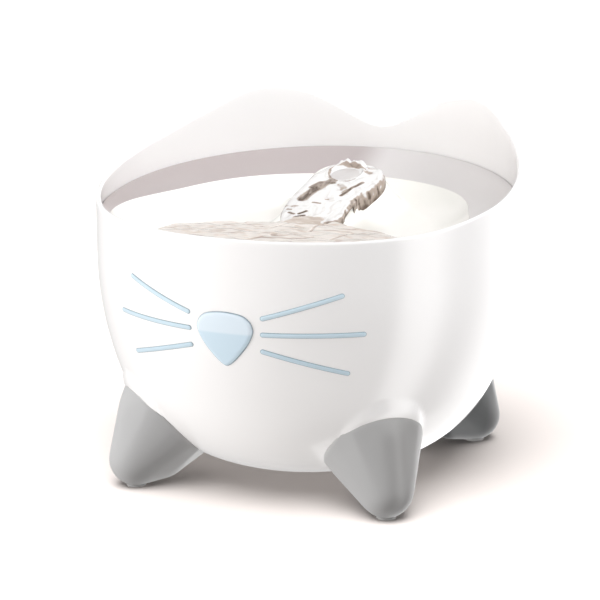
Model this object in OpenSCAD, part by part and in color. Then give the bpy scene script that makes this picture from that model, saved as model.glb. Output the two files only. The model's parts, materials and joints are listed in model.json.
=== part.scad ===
// Pet water fountain: a round bowl with two ear-shaped peaks at the back of its rim, four
// paw-like feet and a lit nose. A pump lifts water through a filter tray to the drinking dish.
// Millimetres. +Z is up, the face looks towards -Y, and the floor is at z = 0.

/* [Bowl] */
// Outer diameter of the bowl
bowl_d = 220; // [200:1:240]
// Height of the bowl's underside above the floor
bowl_clear = 8; // [6:0.5:12]
// Radius of the lower curve of the bowl's side
low_belly_r = 72; // [68:1:76]
// Radius of the upper curve of the bowl's side
high_belly_r = 177; // [165:1:190]
// Height at which the bowl's side becomes upright
straight_z = 117; // [113:1:121]
// Wall of the bowl
wall = 2.6; // [2.2:0.1:3]

/* [Rim] */
// Height of the rim over the face
rim_front_z = 145.2; // [143.5:0.1:150]
// Height of the ears
ear_z = 184.4; // [176:0.1:195]
// Height of the rim between the ears
valley_z = 162.6; // [157:0.1:168]
// Direction of each ear, counted from the face
ear_angle = 148; // [144:1:152]

/* [Seats inside the bowl] */
// Number of ribs that carry the tray and the dish
rib_count = 6; // [4:2:8]
// Thickness of a rib
rib_t = 3; // [2:0.5:5]
// Reach of the rib's lower step from the bowl's outside
low_step_reach = 12; // [10:0.5:14]
// Reach of the rib's upper step from the bowl's outside
high_step_reach = 7; // [6:0.5:8]
// Height of the tray's seat
tray_seat_z = 92; // [88:1:95]
// Height of the dish's seat
dish_seat_z = 128; // [126:0.5:130]

/* [Feet] */
// Distance of a foot's tip inside the bowl's outer radius
foot_inset = 12.4; // [10:0.2:15]
// Radius of a foot's rounded tip
foot_tip_r = 13.9; // [12:0.1:15]
// Height of the foot's broad part
foot_knee_z = 39.2; // [37:0.1:41]
// Radius of the foot's broad part
foot_knee_r = 16.2; // [15:0.1:17]
// Half of the spread of the foot's shoulders
foot_spread = 24; // [20:0.5:26]
// Diameter of a rubber foot pad
pad_d = 10; // [8:0.2:10]
// Thickness of a foot pad
pad_t = 3; // [2:0.2:4]
// Height of a pad that stands out under its foot
pad_proud = 1; // [0.8:0.1:1.2]
// Diameter of the screws in the feet
foot_screw_d = 3; // [2.5:0.1:3.5]
// Height that the bowl's swelling over a foot stands out
brow_proud = 1.8; // [1:0.1:2.4]

/* [Face] */
// Width of the nose
nose_w = 29.8; // [26:0.2:32]
// Height of the nose
nose_h = 28.2; // [24:0.2:30]
// Height of the nose's centre
nose_z = 95.1; // [93:0.1:97]
// Height that the nose stands out
nose_proud = 1.2; // [0.6:0.1:2]
// Width of a whisker
whisker_w = 2.6; // [2:0.1:3.2]
// Depth of a whisker's groove
whisker_depth = 1.4; // [0.8:0.1:1.6]
// Height that a whisker stands out
whisker_proud = 0.6; // [0.3:0.1:1]

/* [Nose light] */
// Depth of the lamp's seat from the bowl's outside
lamp_seat = 12; // [11:0.5:13]
// Thickness of the nose gasket
gasket_t = 0.8; // [0.5:0.1:1.2]
// Thickness of the nose lens's flange
lens_flange_t = 1.2; // [1:0.1:1.6]
// Width of the nose lens's flange
lens_flange_w = 4; // [3:0.2:4.4]
// Depth of the lamp housing
lamp_depth = 9; // [8.6:0.2:10]
// Wall of the lamp housing
lamp_wall = 1.6; // [1.2:0.1:1.8]
// Thickness of the lamp's circuit board
board_t = 1.6; // [1:0.1:1.6]
// Width of the light-emitting chip
chip_w = 5; // [3:0.5:6]
// Thickness of the light-emitting chip
chip_t = 2; // [1.2:0.1:2.4]
// Diameter of the lamp's screws
lamp_screw_d = 2.6; // [2:0.1:3]

/* [Power inlet] */
// Height of the power inlet
inlet_z = 118; // [117:0.5:119]
// Diameter of the guide in the inlet's mouth
inlet_guide_d = 9.5; // [9:0.1:10]
// Depth of the guide in the inlet's mouth
inlet_guide_depth = 4; // [3:0.5:5]
// Diameter of the inlet's contact bore
inlet_bore_d = 5.6; // [5.5:0.1:6]
// Diameter of the inlet's centre pin
inlet_pin_d = 2.1; // [1.9:0.1:2.5]
// Diameter of the inlet's barrel
inlet_barrel_d = 12; // [11.6:0.1:13]
// Length of the inlet's barrel
inlet_barrel_l = 12; // [11:0.5:13]

/* [Leads] */
// Diameter of the pump's lead
pump_lead_d = 3.8; // [3:0.1:4]
// Diameter of the lamp's lead
lamp_lead_d = 2.6; // [2:0.1:3]
// Length of a lead clip
clip_l = 4; // [3:0.5:6]

/* [Pump] */
// Free way between the strainer and the bowl's side
strainer_room = 6.3; // [6.2:0.1:9]
// Width of the pump
pump_w = 36; // [34:0.5:38]
// Height of the pump's casing
pump_h = 34; // [33:0.5:36]
// Wall of the pump's casing
pump_wall = 2; // [1.6:0.1:2.2]
// Length of the pump's motor chamber
motor_l = 38; // [36:0.5:40]
// Depth of the pump's impeller chamber
volute_l = 16; // [15:0.5:17]
// Height of the suction cups
cup_h = 6; // [5:0.5:8]
// Diameter of the suction cups
cup_d = 14; // [12:0.5:16]
// Diameter of the ceramic shaft
shaft_d = 3; // [2.5:0.1:3.2]
// Radial clearance of the rotor on its shaft
shaft_gap = 0.05; // [0.02:0.01:0.09]
// Diameter of the rotor magnet
magnet_d = 14.8; // [14:0.1:15.2]
// Diameter of the impeller
impeller_d = 25; // [23:0.2:26]
// Number of impeller blades
blade_count = 6; // [4:1:8]
// Thickness of an impeller blade
blade_t = 1.6; // [1.2:0.1:2]
// Outer diameter of the pump's outlet
nipple_d = 14; // [13.4:0.1:14.4]
// Bore of the pump's outlet
nipple_bore = 9.2; // [8:0.1:9.6]
// Height of the pump's outlet over the casing
nipple_h = 12; // [11:0.5:14]
// Depth of the intake strainer
strainer_l = 11.5; // [10:0.5:13]
// Number of slots in the strainer
strainer_slots = 7; // [4:1:8]

/* [Filter tray] */
// Gap between the filter tray and the lamp housing
tray_gap = 3; // [2:0.5:5]
// Height of the filter tray's side
tray_h = 18; // [16:0.5:19]
// Thickness of the tray's floor and side
tray_t = 2; // [1.6:0.1:2.4]
// Wall of the riser tube
riser_wall = 1.8; // [1.4:0.1:2]
// Bore of the riser tube's upper part
riser_bore = 11; // [10:0.1:11.4]
// Height of the riser tube's top
riser_top_z = 127; // [124:0.5:128]

/* [Filter cartridge] */
// Gap between the filter cartridge and the tray's side
cartridge_gap = 1; // [0.5:0.1:2]
// Height of the carbon layer
carbon_h = 4; // [3:0.5:5]
// Height of the felt layer
felt_h = 3.5; // [2.5:0.5:4.5]
// Thickness of the cartridge's plastic walls
cartridge_t = 1.4; // [1.2:0.1:1.6]

/* [Drinking dish] */
// Width of the collar over the face, seen from above
collar_front_w = 9.7; // [8:0.1:12]
// Width of the collar at the back, seen from above
collar_back_w = 21.7; // [19:0.1:24]
// Height of the basin's edge
basin_rim_z = 137.5; // [136.5:0.1:139]
// Height of the basin's floor
basin_floor_z = 129; // [128.5:0.5:130]
// Thickness of the dish
dish_t = 2.2; // [1.8:0.1:2.4]
// Gap between the dish and the bowl's wall
dish_gap = 0.7; // [0.4:0.1:1]
// Height of the collar's outer edge over the face
collar_front_z = 140.2; // [139.5:0.1:142]
// Height of the collar's outer edge at the back
collar_back_z = 150.2; // [146:0.1:154]
// Distance of the spout in front of the basin's back edge
spout_inset = 32; // [30:0.5:34]
// Height of the spout's mouth
spout_z = 145.7; // [143:0.1:148]
// Forward tilt of the spout's mouth
spout_tilt = 8.5; // [4:0.5:12]
// Radius of the spout's mouth
spout_r = 7.6; // [7.4:0.1:8]
// Radius of the hill around the spout
hill_r = 17; // [15.5:0.5:19]
// Number of drain slots in the basin
drain_count = 7; // [4:1:9]
// Width of a drain slot
drain_w = 3; // [2:0.5:4]

/* [Hidden] */

$fn = 96;
sphere_fn = 28;
eps = 0.01;
belly_steps = 14;
rim_step = 4;

warm_white = "#f2efee";
satin_grey = "#9a9a9a";
pale_blue = "#cfe3ee";
rubber_grey = "#5c5c60";
rubber_black = "#2b2b2d";
steel = "#c4c6c9";
board_green = "#2f6b45";
pump_grey = "#3d4145";
copper = "#b87333";
ferrite = "#45423f";
ceramic = "#efe9dd";
filter_white = "#e9e8e2";
carbon_black = "#2c2b2a";
lens_clear = "#dfe9ee";

bowl_r = bowl_d / 2;
inner_r = bowl_r - wall;
floor_z = bowl_clear + wall;
low_centre_z = bowl_clear + low_belly_r;
high_centre_r = bowl_r - high_belly_r;
belly_difference = high_belly_r - low_belly_r;
low_centre_r = high_centre_r + sqrt(pow(belly_difference, 2) - pow(low_centre_z - straight_z, 2));
belly_turn = atan2(low_centre_z - straight_z, low_centre_r - high_centre_r);
belly_turn_z = straight_z + high_belly_r * sin(belly_turn);
dish_r = inner_r - dish_gap;
basin_r = dish_r - (collar_front_w + collar_back_w) / 2;
basin_shift = (collar_back_w - collar_front_w) / 2;
spout_y = basin_r - basin_shift - spout_inset;

// ---- shared functions -------------------------------------------------------------------

// A point at radius r, at an angle counted from the face towards +X
function polar(r, angle, z) = [r * sin(angle), -r * cos(angle), z];

function reversed(list) = [for (i = [len(list) - 1:-1:0]) list[i]];

function arc(centre, r, from, to, steps) =
    [for (i = [0:steps]) let (a = from + (to - from) * i / steps) centre + r * [cos(a), sin(a)]];

// Outline of a bar with round ends from p to q
function stadium(p, q, r) =
    let (turn = atan2(q[1] - p[1], q[0] - p[0]))
    concat(arc(q, r, turn - 90, turn + 90, 8), arc(p, r, turn + 90, turn + 270, 8));

function rounded_rectangle(w, h, r) = [
    for (corner = [[1, 1, 0], [-1, 1, 90], [-1, -1, 180], [1, -1, 270]])
        each arc([corner[0] * (w / 2 - r), corner[1] * (h / 2 - r)], r, corner[2], corner[2] + 90, 5)
];

function catmull(a, b, c, d, t) =
    0.5 * (2 * b + (c - a) * t + (2 * a - 5 * b + 4 * c - d) * t * t + (3 * b - a - 3 * c + d) * t * t * t);

function smooth_loop(points, steps) = let (n = len(points)) [
    for (i = [0:n - 1], s = [0:steps - 1])
        catmull(points[(i + n - 1) % n], points[i], points[(i + 1) % n], points[(i + 2) % n], s / steps)
];

function smooth_path(points, steps) = let (n = len(points)) concat([
    for (i = [0:n - 2], s = [0:steps - 1])
        catmull(points[max(i - 1, 0)], points[i], points[i + 1], points[min(i + 2, n - 1)], s / steps)
], [points[n - 1]]);

function unit(v) = v / norm(v);

// A closed outline moved outwards by d
function grown(loop, d) = let (n = len(loop)) [
    for (i = [0:n - 1])
        let (along = unit(loop[(i + 1) % n] - loop[(i + n - 1) % n]))
        loop[i] + d * [along[1], -along[0]]
];

// Straight-line value at x between the marks of a rising list of [x, value]
function mark_index(marks, x, i = 0) =
    i >= len(marks) - 2 || x <= marks[i + 1][0] ? i : mark_index(marks, x, i + 1);

function mark_slope(marks, i) = let (a = max(i - 1, 0), b = min(i + 1, len(marks) - 1))
    (marks[b][1] - marks[a][1]) / (marks[b][0] - marks[a][0]);

// Smooth value at x through a rising list of [x, value]
function value_at(marks, x) =
    let (
        i = mark_index(marks, x),
        span = marks[i + 1][0] - marks[i][0],
        t = (x - marks[i][0]) / span
    )
    marks[i][1] * (2 * t * t * t - 3 * t * t + 1)
    + mark_slope(marks, i) * span * (t * t * t - 2 * t * t + t)
    + marks[i + 1][1] * (3 * t * t - 2 * t * t * t)
    + mark_slope(marks, i + 1) * span * (t * t * t - t * t);

// ---- the bowl's outline -----------------------------------------------------------------

// Half outline of the bowl's side, moved inwards by inset, up to where it becomes upright
function belly(inset) = concat(
    [[0, bowl_clear + inset]],
    arc([low_centre_r, low_centre_z], low_belly_r - inset, -90, belly_turn, belly_steps),
    [for (p = arc([high_centre_r, straight_z], high_belly_r - inset, belly_turn, 0, belly_steps)) if (p[1] > belly_turn_z + 1) p]
);

// Radius of the lower belly at height z
function low_belly_radius(z, inset) = low_centre_r + sqrt(pow(low_belly_r - inset, 2) - pow(z - low_centre_z, 2));

// Share of the rise from the front rim to an ear, and of the drop from an ear to the valley
rise_marks = [[0, 0], [50, 0], [75, 0.12], [90, 0.23], [110, 0.44], [128, 0.73], [140, 0.95], [148, 1]];
drop_marks = [[148, 1], [158, 0.82], [164, 0.59], [170, 0.31], [176, 0.065], [180, 0]];
ear_mark = 148;

// Height of the rim at an angle from 0 to 180 from the face
function rim_z(angle) =
    angle <= ear_angle
        ? rim_front_z + (ear_z - rim_front_z) * value_at(rise_marks, angle * ear_mark / ear_angle)
        : valley_z + (ear_z - valley_z)
            * value_at(drop_marks, 180 - (180 - angle) * (180 - ear_mark) / (180 - ear_angle));

// ---- shared modules ---------------------------------------------------------------------

// A closed ring through a list of closed sections
module ring_solid(sections) {
    n = len(sections);
    m = len(sections[0]);
    polyhedron(
        points = [for (s = sections) each s],
        faces = [for (i = [0:n - 1], k = [0:m - 1])
            [i * m + k, i * m + (k + 1) % m, ((i + 1) % n) * m + (k + 1) % m, ((i + 1) % n) * m + k]]
    );
}

// A round tube swept along a path of points, closed at both ends
module swept_tube(path, r, sides) {
    n = len(path);
    rings = [
        for (i = [0:n - 1])
            let (
                along = unit(path[min(i + 1, n - 1)] - path[max(i - 1, 0)]),
                side = unit(cross(along, abs(along[0]) > 0.8 ? [0, 0, 1] : [1, 0, 0])),
                up = cross(along, side)
            )
            [for (k = [0:sides - 1]) path[i] + r * (cos(360 * k / sides) * side + sin(360 * k / sides) * up)]
    ];
    polyhedron(
        points = [for (ring = rings) each ring],
        faces = concat(
            [[for (k = [0:sides - 1]) k]],
            [for (i = [0:n - 2], k = [0:sides - 1])
                [i * sides + k, (i + 1) * sides + k, (i + 1) * sides + (k + 1) % sides, i * sides + (k + 1) % sides]],
            [[for (k = [sides - 1:-1:0]) (n - 1) * sides + k]]
        )
    );
}

// The whole space inside the bowl's side moved inwards by inset
module belly_solid(inset) {
    rotate_extrude()
        polygon(concat(belly(inset), [[bowl_r - inset, ear_z + 2], [0, ear_z + 2]]));
}

// Children drawn in the plane of x and z, made from y = -far to y = -near
module towards_face(near, far) {
    translate([0, -near, 0])
        rotate([90, 0, 0])
            linear_extrude(height = far - near)
                children();
}

// Children drawn along +Z, turned to run along +Y at the pump's height
module on_pump_axis(y) {
    translate([0, y, pump_axis_z])
        rotate([-90, 0, 0])
            children();
}

// ---- feet -------------------------------------------------------------------------------

foot_angles = [-45, 45, -135, 135];
foot_tip_rho = bowl_r - foot_inset;
knee_rho = foot_tip_rho - 8.2;
shoulder_rho = foot_tip_rho - 31;
shoulder_z = foot_knee_z + 10.5;
shoulder_r = 12.4;
heel_rho = foot_tip_rho - 35;
heel_z = 21;
heel_r = 8;
foot_lean = 19;
boss_r = 4.5;
boss_start = 20;
boss_gap = 0.2;
screw_head_r = foot_screw_d;
screw_head_h = 2.4;
screw_seat = 12;
screw_bite = 11;
screw_hole_gap = 0.2;
brow_r = 16;
brow_spread = 8;
brow_top_z = foot_knee_z + 14.8;
brow_side_z = foot_knee_z + 6.8;

// Centre of a sphere whose cap stands out of the lower belly at height z
function belly_cap(z, angle, r, proud) =
    let (
        slope = asin((low_centre_z - z) / low_belly_r),
        depth = low_belly_r - r + proud
    )
    polar(low_centre_r + depth * cos(slope), angle, low_centre_z - depth * sin(slope));

module each_foot() {
    for (angle = foot_angles)
        rotate([0, 0, angle])
            children();
}

module at_tip() {
    translate([0, -foot_tip_rho, 0])
        children();
}

// Children drawn along the screw's axis, which starts at the pad and leans towards the bowl
module on_foot_screw() {
    translate([0, -foot_tip_rho, pad_t])
        rotate([-foot_lean, 0, 0])
            children();
}

// The pieces of one foot are drawn as if it stood right under the face

module brow() {
    hull() {
        translate(belly_cap(brow_top_z, 0, brow_r, brow_proud))
            sphere(r = brow_r, $fn = sphere_fn);
        for (side = [-1, 1])
            translate(belly_cap(brow_side_z, side * brow_spread, brow_r, brow_proud))
                sphere(r = brow_r, $fn = sphere_fn);
    }
}

module foot_form() {
    hull() {
        translate([0, -foot_tip_rho, foot_tip_r])
            sphere(r = foot_tip_r, $fn = sphere_fn);
        translate([0, -knee_rho, foot_knee_z])
            sphere(r = foot_knee_r, $fn = sphere_fn);
        for (side = [-1, 1])
            translate([side * foot_spread, -shoulder_rho, shoulder_z])
                sphere(r = shoulder_r, $fn = sphere_fn);
        translate([0, -heel_rho, heel_z])
            sphere(r = heel_r, $fn = sphere_fn);
    }
}

module foot(angle) {
    color(satin_grey)
        rotate([0, 0, angle])
            difference() {
                foot_form();
                belly_solid(0);
                brow();
                at_tip() {
                    translate([0, 0, -eps])
                        cylinder(h = pad_proud + eps, r = foot_tip_r * 2);
                    cylinder(h = pad_t, d = pad_d);
                }
                on_foot_screw() {
                    translate([0, 0, -pad_t])
                        cylinder(h = screw_seat + pad_t, r = screw_head_r + screw_hole_gap);
                    cylinder(h = boss_start, r = foot_screw_d / 2 + screw_hole_gap);
                    translate([0, 0, boss_start - boss_gap])
                        cylinder(h = 2 * boss_start, r = boss_r + boss_gap);
                }
            }
}

module foot_pads() {
    color(rubber_grey)
        each_foot()
            at_tip()
                cylinder(h = pad_t, d = pad_d);
}

module foot_screws() {
    color(steel)
        each_foot()
            on_foot_screw()
                difference() {
                    union() {
                        translate([0, 0, screw_seat - screw_head_h])
                            cylinder(h = screw_head_h, r = screw_head_r);
                        translate([0, 0, screw_seat])
                            cylinder(h = boss_start + screw_bite - screw_seat, d = foot_screw_d);
                    }
                    translate([0, 0, screw_seat - screw_head_h - eps])
                        cylinder(h = screw_head_h / 2, r = foot_screw_d / 3, $fn = 6);
                }
}

// ---- face -------------------------------------------------------------------------------

nose_shape = [
    [0, 1], [0.6, 0.92], [0.89, 0.71], [1, 0.42], [0.945, 0.14],
    [0.76, -0.22], [0.475, -0.6], [0.21, -0.88], [0, -1]
];
nose_loop = smooth_loop(concat(
    [for (p = nose_shape) [p[0] * nose_w / 2, nose_z + p[1] * nose_h / 2]],
    [for (i = [len(nose_shape) - 2:-1:1]) [-nose_shape[i][0] * nose_w / 2, nose_z + nose_shape[i][1] * nose_h / 2]]
), 3);
face_far = bowl_r + 4;
lamp_seat_r = bowl_r - lamp_seat;
flange_front = lamp_seat_r - gasket_t;
flange_back = flange_front - lens_flange_t;

whisker_start = 10.35;
whisker_turn = 22;
// Each row: angle of the outer end, height at the nose and height at the outer end, from the nose
whisker_rows = [[30.4, 11.9, 23.4], [36, 3.6, 3.6], [31.8, -5.1, -16.5]];

module nose_prism(growth, near, far) {
    towards_face(near, far)
        polygon(grown(nose_loop, -growth));
}

module whisker_prism(side, row) {
    r = bowl_r;
    near = [side * r * sin(whisker_start - whisker_turn), nose_z + row[1]];
    far = [side * r * sin(row[0] - whisker_turn), nose_z + row[2]];
    rotate([0, 0, side * whisker_turn])
        towards_face(r / 2, face_far)
            polygon(stadium(near, far, whisker_w / 2));
}

module whisker(side, row) {
    color(pale_blue)
        intersection() {
            whisker_prism(side, row);
            difference() {
                belly_solid(-whisker_proud);
                belly_solid(whisker_depth);
            }
        }
}

module nose_lens() {
    color(pale_blue) {
        intersection() {
            nose_prism(0, flange_front, face_far);
            belly_solid(-nose_proud);
        }
        nose_prism(lens_flange_w, flange_back, flange_front);
    }
}

module nose_gasket() {
    color(rubber_black)
        difference() {
            nose_prism(lens_flange_w, flange_front, lamp_seat_r);
            nose_prism(0, flange_front - 1, lamp_seat_r + 1);
        }
}

// ---- nose light -------------------------------------------------------------------------

lamp_rim = 1;
lens_bearing = 2;
lamp_ear_reach = 3.2;
lamp_w = nose_w + 2 * (lens_flange_w + lamp_rim + lamp_wall);
lamp_h = nose_h + 2 * (lens_flange_w + lamp_rim + lamp_wall);
lamp_room_w = nose_w + 2 * (lens_flange_w - lens_bearing);
lamp_room_h = nose_h + 2 * (lens_flange_w - lens_bearing);
lamp_back = lamp_seat_r - lamp_depth;
board_back = lamp_back + lamp_wall;
board_front = board_back + board_t;
board_gap = 0.3;
lamp_ear_r = 3.4;
lamp_ear_t = 3;
lamp_screw_x = lamp_w / 2 + lamp_ear_reach;
lamp_screw_bite = 5.5;
lamp_head_h = 1.6;

module lamp_slab(w, h, near, far) {
    towards_face(near, far)
        translate([0, nose_z])
            square([w, h], center = true);
}

module lamp_rods(r, near, far) {
    towards_face(near, far)
        for (side = [-1, 1])
            translate([side * lamp_screw_x, nose_z])
                circle(r = r, $fn = 48);
}

module lamp_housing() {
    color(warm_white)
        difference() {
            union() {
                lamp_slab(lamp_w, lamp_h, lamp_back, lamp_seat_r);
                lamp_rods(lamp_ear_r, lamp_seat_r - lamp_ear_t, lamp_seat_r);
            }
            lamp_slab(lamp_room_w, lamp_room_h, board_back, lamp_seat_r + 1);
            lamp_slab(lamp_w - 2 * lamp_wall, lamp_h - 2 * lamp_wall, flange_back, lamp_seat_r + 1);
            lamp_rods(lamp_screw_d / 2, lamp_back, lamp_seat_r + 1);
            translate([0, -(board_front + lamp_lead_d), nose_z - lamp_h / 2 - 1])
                cylinder(h = lamp_h / 2, d = lamp_lead_d, $fn = 32);
        }
}

module lamp_board() {
    color(board_green)
        lamp_slab(lamp_room_w - 2 * board_gap, lamp_room_h - 2 * board_gap, board_back, board_front);
}

module lamp_chip() {
    color(ceramic)
        lamp_slab(chip_w, chip_w, board_front, board_front + chip_t);
}

module lamp_screws() {
    color(steel) {
        lamp_rods(lamp_screw_d / 2, lamp_seat_r - lamp_ear_t, lamp_seat_r + lamp_screw_bite);
        lamp_rods(lamp_screw_d * 0.95, lamp_seat_r - lamp_ear_t - lamp_head_h, lamp_seat_r - lamp_ear_t);
    }
}

// ---- power inlet ------------------------------------------------------------------------

inlet_lip = 2.6;
inlet_flange_r = inlet_barrel_d / 2 + inlet_lip;
inlet_flange_t = 1.5;
inlet_floor_t = 2;
inlet_boss_rim = 1.4;
inlet_gasket_t = 0.8;
inlet_margin = 0.5;
inlet_pocket = inlet_flange_t + inlet_gasket_t + inlet_margin;
inlet_outside = bowl_r - inlet_margin;
inlet_face = bowl_r - inlet_pocket;
inlet_boss_t = 6.2;
inlet_boss_face = inlet_face - inlet_boss_t;
inlet_nut_t = 3;
inlet_back = inlet_face - inlet_barrel_l;
inlet_pin_l = 7;
boot_w = 9;
boot_t = 5;
boot_z = inlet_z - 8;

module on_inlet_axis(y) {
    translate([0, y, inlet_z])
        rotate([-90, 0, 0])
            children();
}

module power_inlet() {
    color(rubber_black)
        difference() {
            union() {
                on_inlet_axis(inlet_back)
                    cylinder(h = inlet_barrel_l + 1, d = inlet_barrel_d);
                on_inlet_axis(inlet_outside - inlet_flange_t)
                    cylinder(h = inlet_flange_t, r = inlet_flange_r);
            }
            on_inlet_axis(inlet_outside - inlet_guide_depth)
                cylinder(h = inlet_guide_depth + 1, d = inlet_guide_d);
            on_inlet_axis(inlet_back + inlet_floor_t)
                cylinder(h = inlet_barrel_l, d = inlet_bore_d);
        }
}

module inlet_pin() {
    color(steel)
        on_inlet_axis(inlet_back + inlet_floor_t)
            cylinder(h = inlet_pin_l, d = inlet_pin_d, $fn = 32);
}

module inlet_gasket() {
    color(rubber_grey)
        difference() {
            on_inlet_axis(inlet_face)
                cylinder(h = inlet_outside - inlet_flange_t - inlet_face, r = inlet_flange_r);
            on_inlet_axis(inlet_face - 1)
                cylinder(h = inlet_pocket + 2, d = inlet_barrel_d);
        }
}

module inlet_nut() {
    color(steel)
        difference() {
            on_inlet_axis(inlet_boss_face - inlet_nut_t)
                cylinder(h = inlet_nut_t, r = inlet_flange_r, $fn = 6);
            on_inlet_axis(inlet_boss_face - inlet_nut_t - 1)
                cylinder(h = inlet_nut_t + 2, d = inlet_barrel_d);
        }
}

module inlet_boot() {
    color(rubber_black)
        difference() {
            translate([-boot_w / 2, inlet_back - boot_t, boot_z])
                cube([boot_w, boot_t, inlet_z + boot_w / 2 - boot_z]);
            translate([0, inlet_back - boot_t / 2, boot_z - 1])
                cylinder(h = 6, d = pump_lead_d, $fn = 32);
        }
}

// ---- pump -------------------------------------------------------------------------------

pump_z = floor_z + cup_h;
pump_axis_z = pump_z + pump_h / 2;
pump_corner = 6;
cover_t = 2.5;
strainer_end = sqrt(pow(low_belly_radius(pump_z, wall), 2) - pow(pump_w / 2 - pump_corner, 2)) - strainer_room;
outlet_y = strainer_end - strainer_l - cover_t - volute_l / 2;
volute_end = outlet_y + volute_l / 2;
volute_start = outlet_y - volute_l / 2;
motor_start = volute_start - pump_wall - motor_l;
volute_r = impeller_d / 2 + 1.8;
well_r = magnet_d / 2 + 0.8;
well_wall = 1.4;
well_end = motor_start + 12;
shaft_start = well_end + well_wall;
shaft_boss_r = shaft_d / 2 + 1.5;
shaft_boss_l = 3;
shaft_end = volute_end + cover_t - 1;
cap_t = 2;
cap_plug = 1.5;
nipple_top = pump_axis_z + pump_h / 2 + nipple_h;
seal_r = 0.85;
seal_z = nipple_top - 4;
groove_w = 2.2;
groove_depth = 1.4;
cup_x = pump_w / 2 - 7;
cup_ys = [motor_start + 8, volute_end - 8];
cup_lip = 2;
cup_neck_h = 1;
cup_stem_d = 7;
cup_plug_d = 3;
coil_y = motor_start + 6.5;
coil_r = 5;
coil_w = 18;
yoke_h = 7;
yoke_t = 5;
pole_h = 13;
pole_end = volute_start - pump_wall - 4;
pole_gap_x = 6;
sleeve_r = shaft_d / 2 + 2;
play = 0.4;
rotor_start = shaft_start + shaft_boss_l + play;
rotor_end = volute_end - 1 - play;
disc_t = 1.4;
blade_end = volute_end - 3;
lead_gland_x = 8;
lead_gland_z = pump_axis_z + 8;
inlet_hole_r = 6.5;
strainer_wall = 1.6;
strainer_slot_w = 2.2;
foam_gap = 2;
plug_wall = 1.6;
spider_w = 1.6;

module pump_profile(inset) {
    polygon(rounded_rectangle(pump_w - 2 * inset, pump_h - 2 * inset, pump_corner - inset));
}

module pump_block(y, l, inset) {
    on_pump_axis(y)
        linear_extrude(height = l)
            pump_profile(inset);
}

module suction_cups() {
    color(rubber_grey)
        intersection() {
            for (x = [-cup_x, cup_x], y = cup_ys)
                translate([x, y, 0])
                    rotate_extrude()
                        polygon([
                            [0, floor_z + cup_h / 2], [cup_d / 2 - cup_lip, floor_z], [cup_d / 2, floor_z],
                            [cup_d / 4, pump_z - cup_neck_h], [cup_stem_d / 2, pump_z],
                            [cup_plug_d / 2, pump_z], [cup_plug_d / 2, pump_z + pump_wall - eps],
                            [0, pump_z + pump_wall - eps]
                        ]);
            belly_solid(wall);
        }
}

module pump_body() {
    color(pump_grey)
        difference() {
            union() {
                difference() {
                    union() {
                        pump_block(motor_start, volute_end - motor_start, 0);
                        translate([0, outlet_y, pump_axis_z])
                            cylinder(h = nipple_top - pump_axis_z, d = nipple_d);
                    }
                    pump_block(motor_start - 1, motor_l + 1, pump_wall);
                    on_pump_axis(volute_start)
                        cylinder(h = volute_l + 1, r = volute_r);
                }
                on_pump_axis(well_end)
                    cylinder(h = volute_start - well_end, r = well_r + well_wall);
            }
            difference() {
                on_pump_axis(shaft_start)
                    cylinder(h = volute_end - shaft_start, r = well_r);
                on_pump_axis(shaft_start)
                    cylinder(h = shaft_boss_l, r = shaft_boss_r);
            }
            on_pump_axis(shaft_start)
                cylinder(h = shaft_boss_l + 1, d = shaft_d);
            translate([0, outlet_y, pump_axis_z])
                cylinder(h = nipple_top, d = nipple_bore);
            translate([0, outlet_y, seal_z - groove_w / 2])
                difference() {
                    cylinder(h = groove_w, d = nipple_d + 2);
                    translate([0, 0, -1])
                        cylinder(h = groove_w + 2, r = nipple_d / 2 - groove_depth);
                }
            for (x = [-cup_x, cup_x], y = cup_ys)
                translate([x, y, pump_z - 1])
                    cylinder(h = pump_wall + 2, d = cup_plug_d, $fn = 48);
        }
}

module motor_cap() {
    color(pump_grey)
        difference() {
            union() {
                pump_block(motor_start - cap_t, cap_t, 0);
                pump_block(motor_start, cap_plug, pump_wall);
            }
            pump_block(motor_start, cap_plug + 1, pump_wall + plug_wall);
            for (lead = [[1, pump_lead_d], [-1, lamp_lead_d]])
                translate([lead[0] * lead_gland_x, motor_start - cap_t - 1, lead_gland_z])
                    rotate([-90, 0, 0])
                        cylinder(h = cap_t + 3, d = lead[1], $fn = 32);
        }
}

module stator_core() {
    color(ferrite)
        difference() {
            union() {
                for (side = [-1, 1])
                    translate([side * (pole_gap_x + pump_w / 2 - pump_wall) / 2, 0, pump_axis_z])
                        translate([0, (coil_y - yoke_t / 2 + pole_end) / 2, 0])
                            cube([
                                pump_w / 2 - pump_wall - pole_gap_x,
                                pole_end - coil_y + yoke_t / 2,
                                pole_h
                            ], center = true);
                translate([0, coil_y, pump_axis_z])
                    cube([coil_w + 4, yoke_t, yoke_h], center = true);
            }
            on_pump_axis(well_end)
                cylinder(h = motor_l, r = well_r + well_wall);
            translate([-coil_w / 2, coil_y - coil_r, pump_axis_z - pump_h / 2])
                difference() {
                    cube([coil_w, 2 * coil_r, pump_h]);
                    translate([-1, coil_r - yoke_t / 2, (pump_h - yoke_h) / 2])
                        cube([coil_w + 2, yoke_t, yoke_h]);
                }
        }
}

module stator_coil() {
    color(copper)
        difference() {
            translate([-coil_w / 2, coil_y - coil_r, pump_axis_z - coil_r - 3])
                cube([coil_w, 2 * coil_r, 2 * coil_r + 6]);
            translate([0, coil_y, pump_axis_z])
                cube([coil_w + 2, yoke_t, yoke_h], center = true);
        }
}

module pump_shaft() {
    color(ceramic)
        on_pump_axis(shaft_start)
            cylinder(h = shaft_end - shaft_start, d = shaft_d);
}

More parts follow.
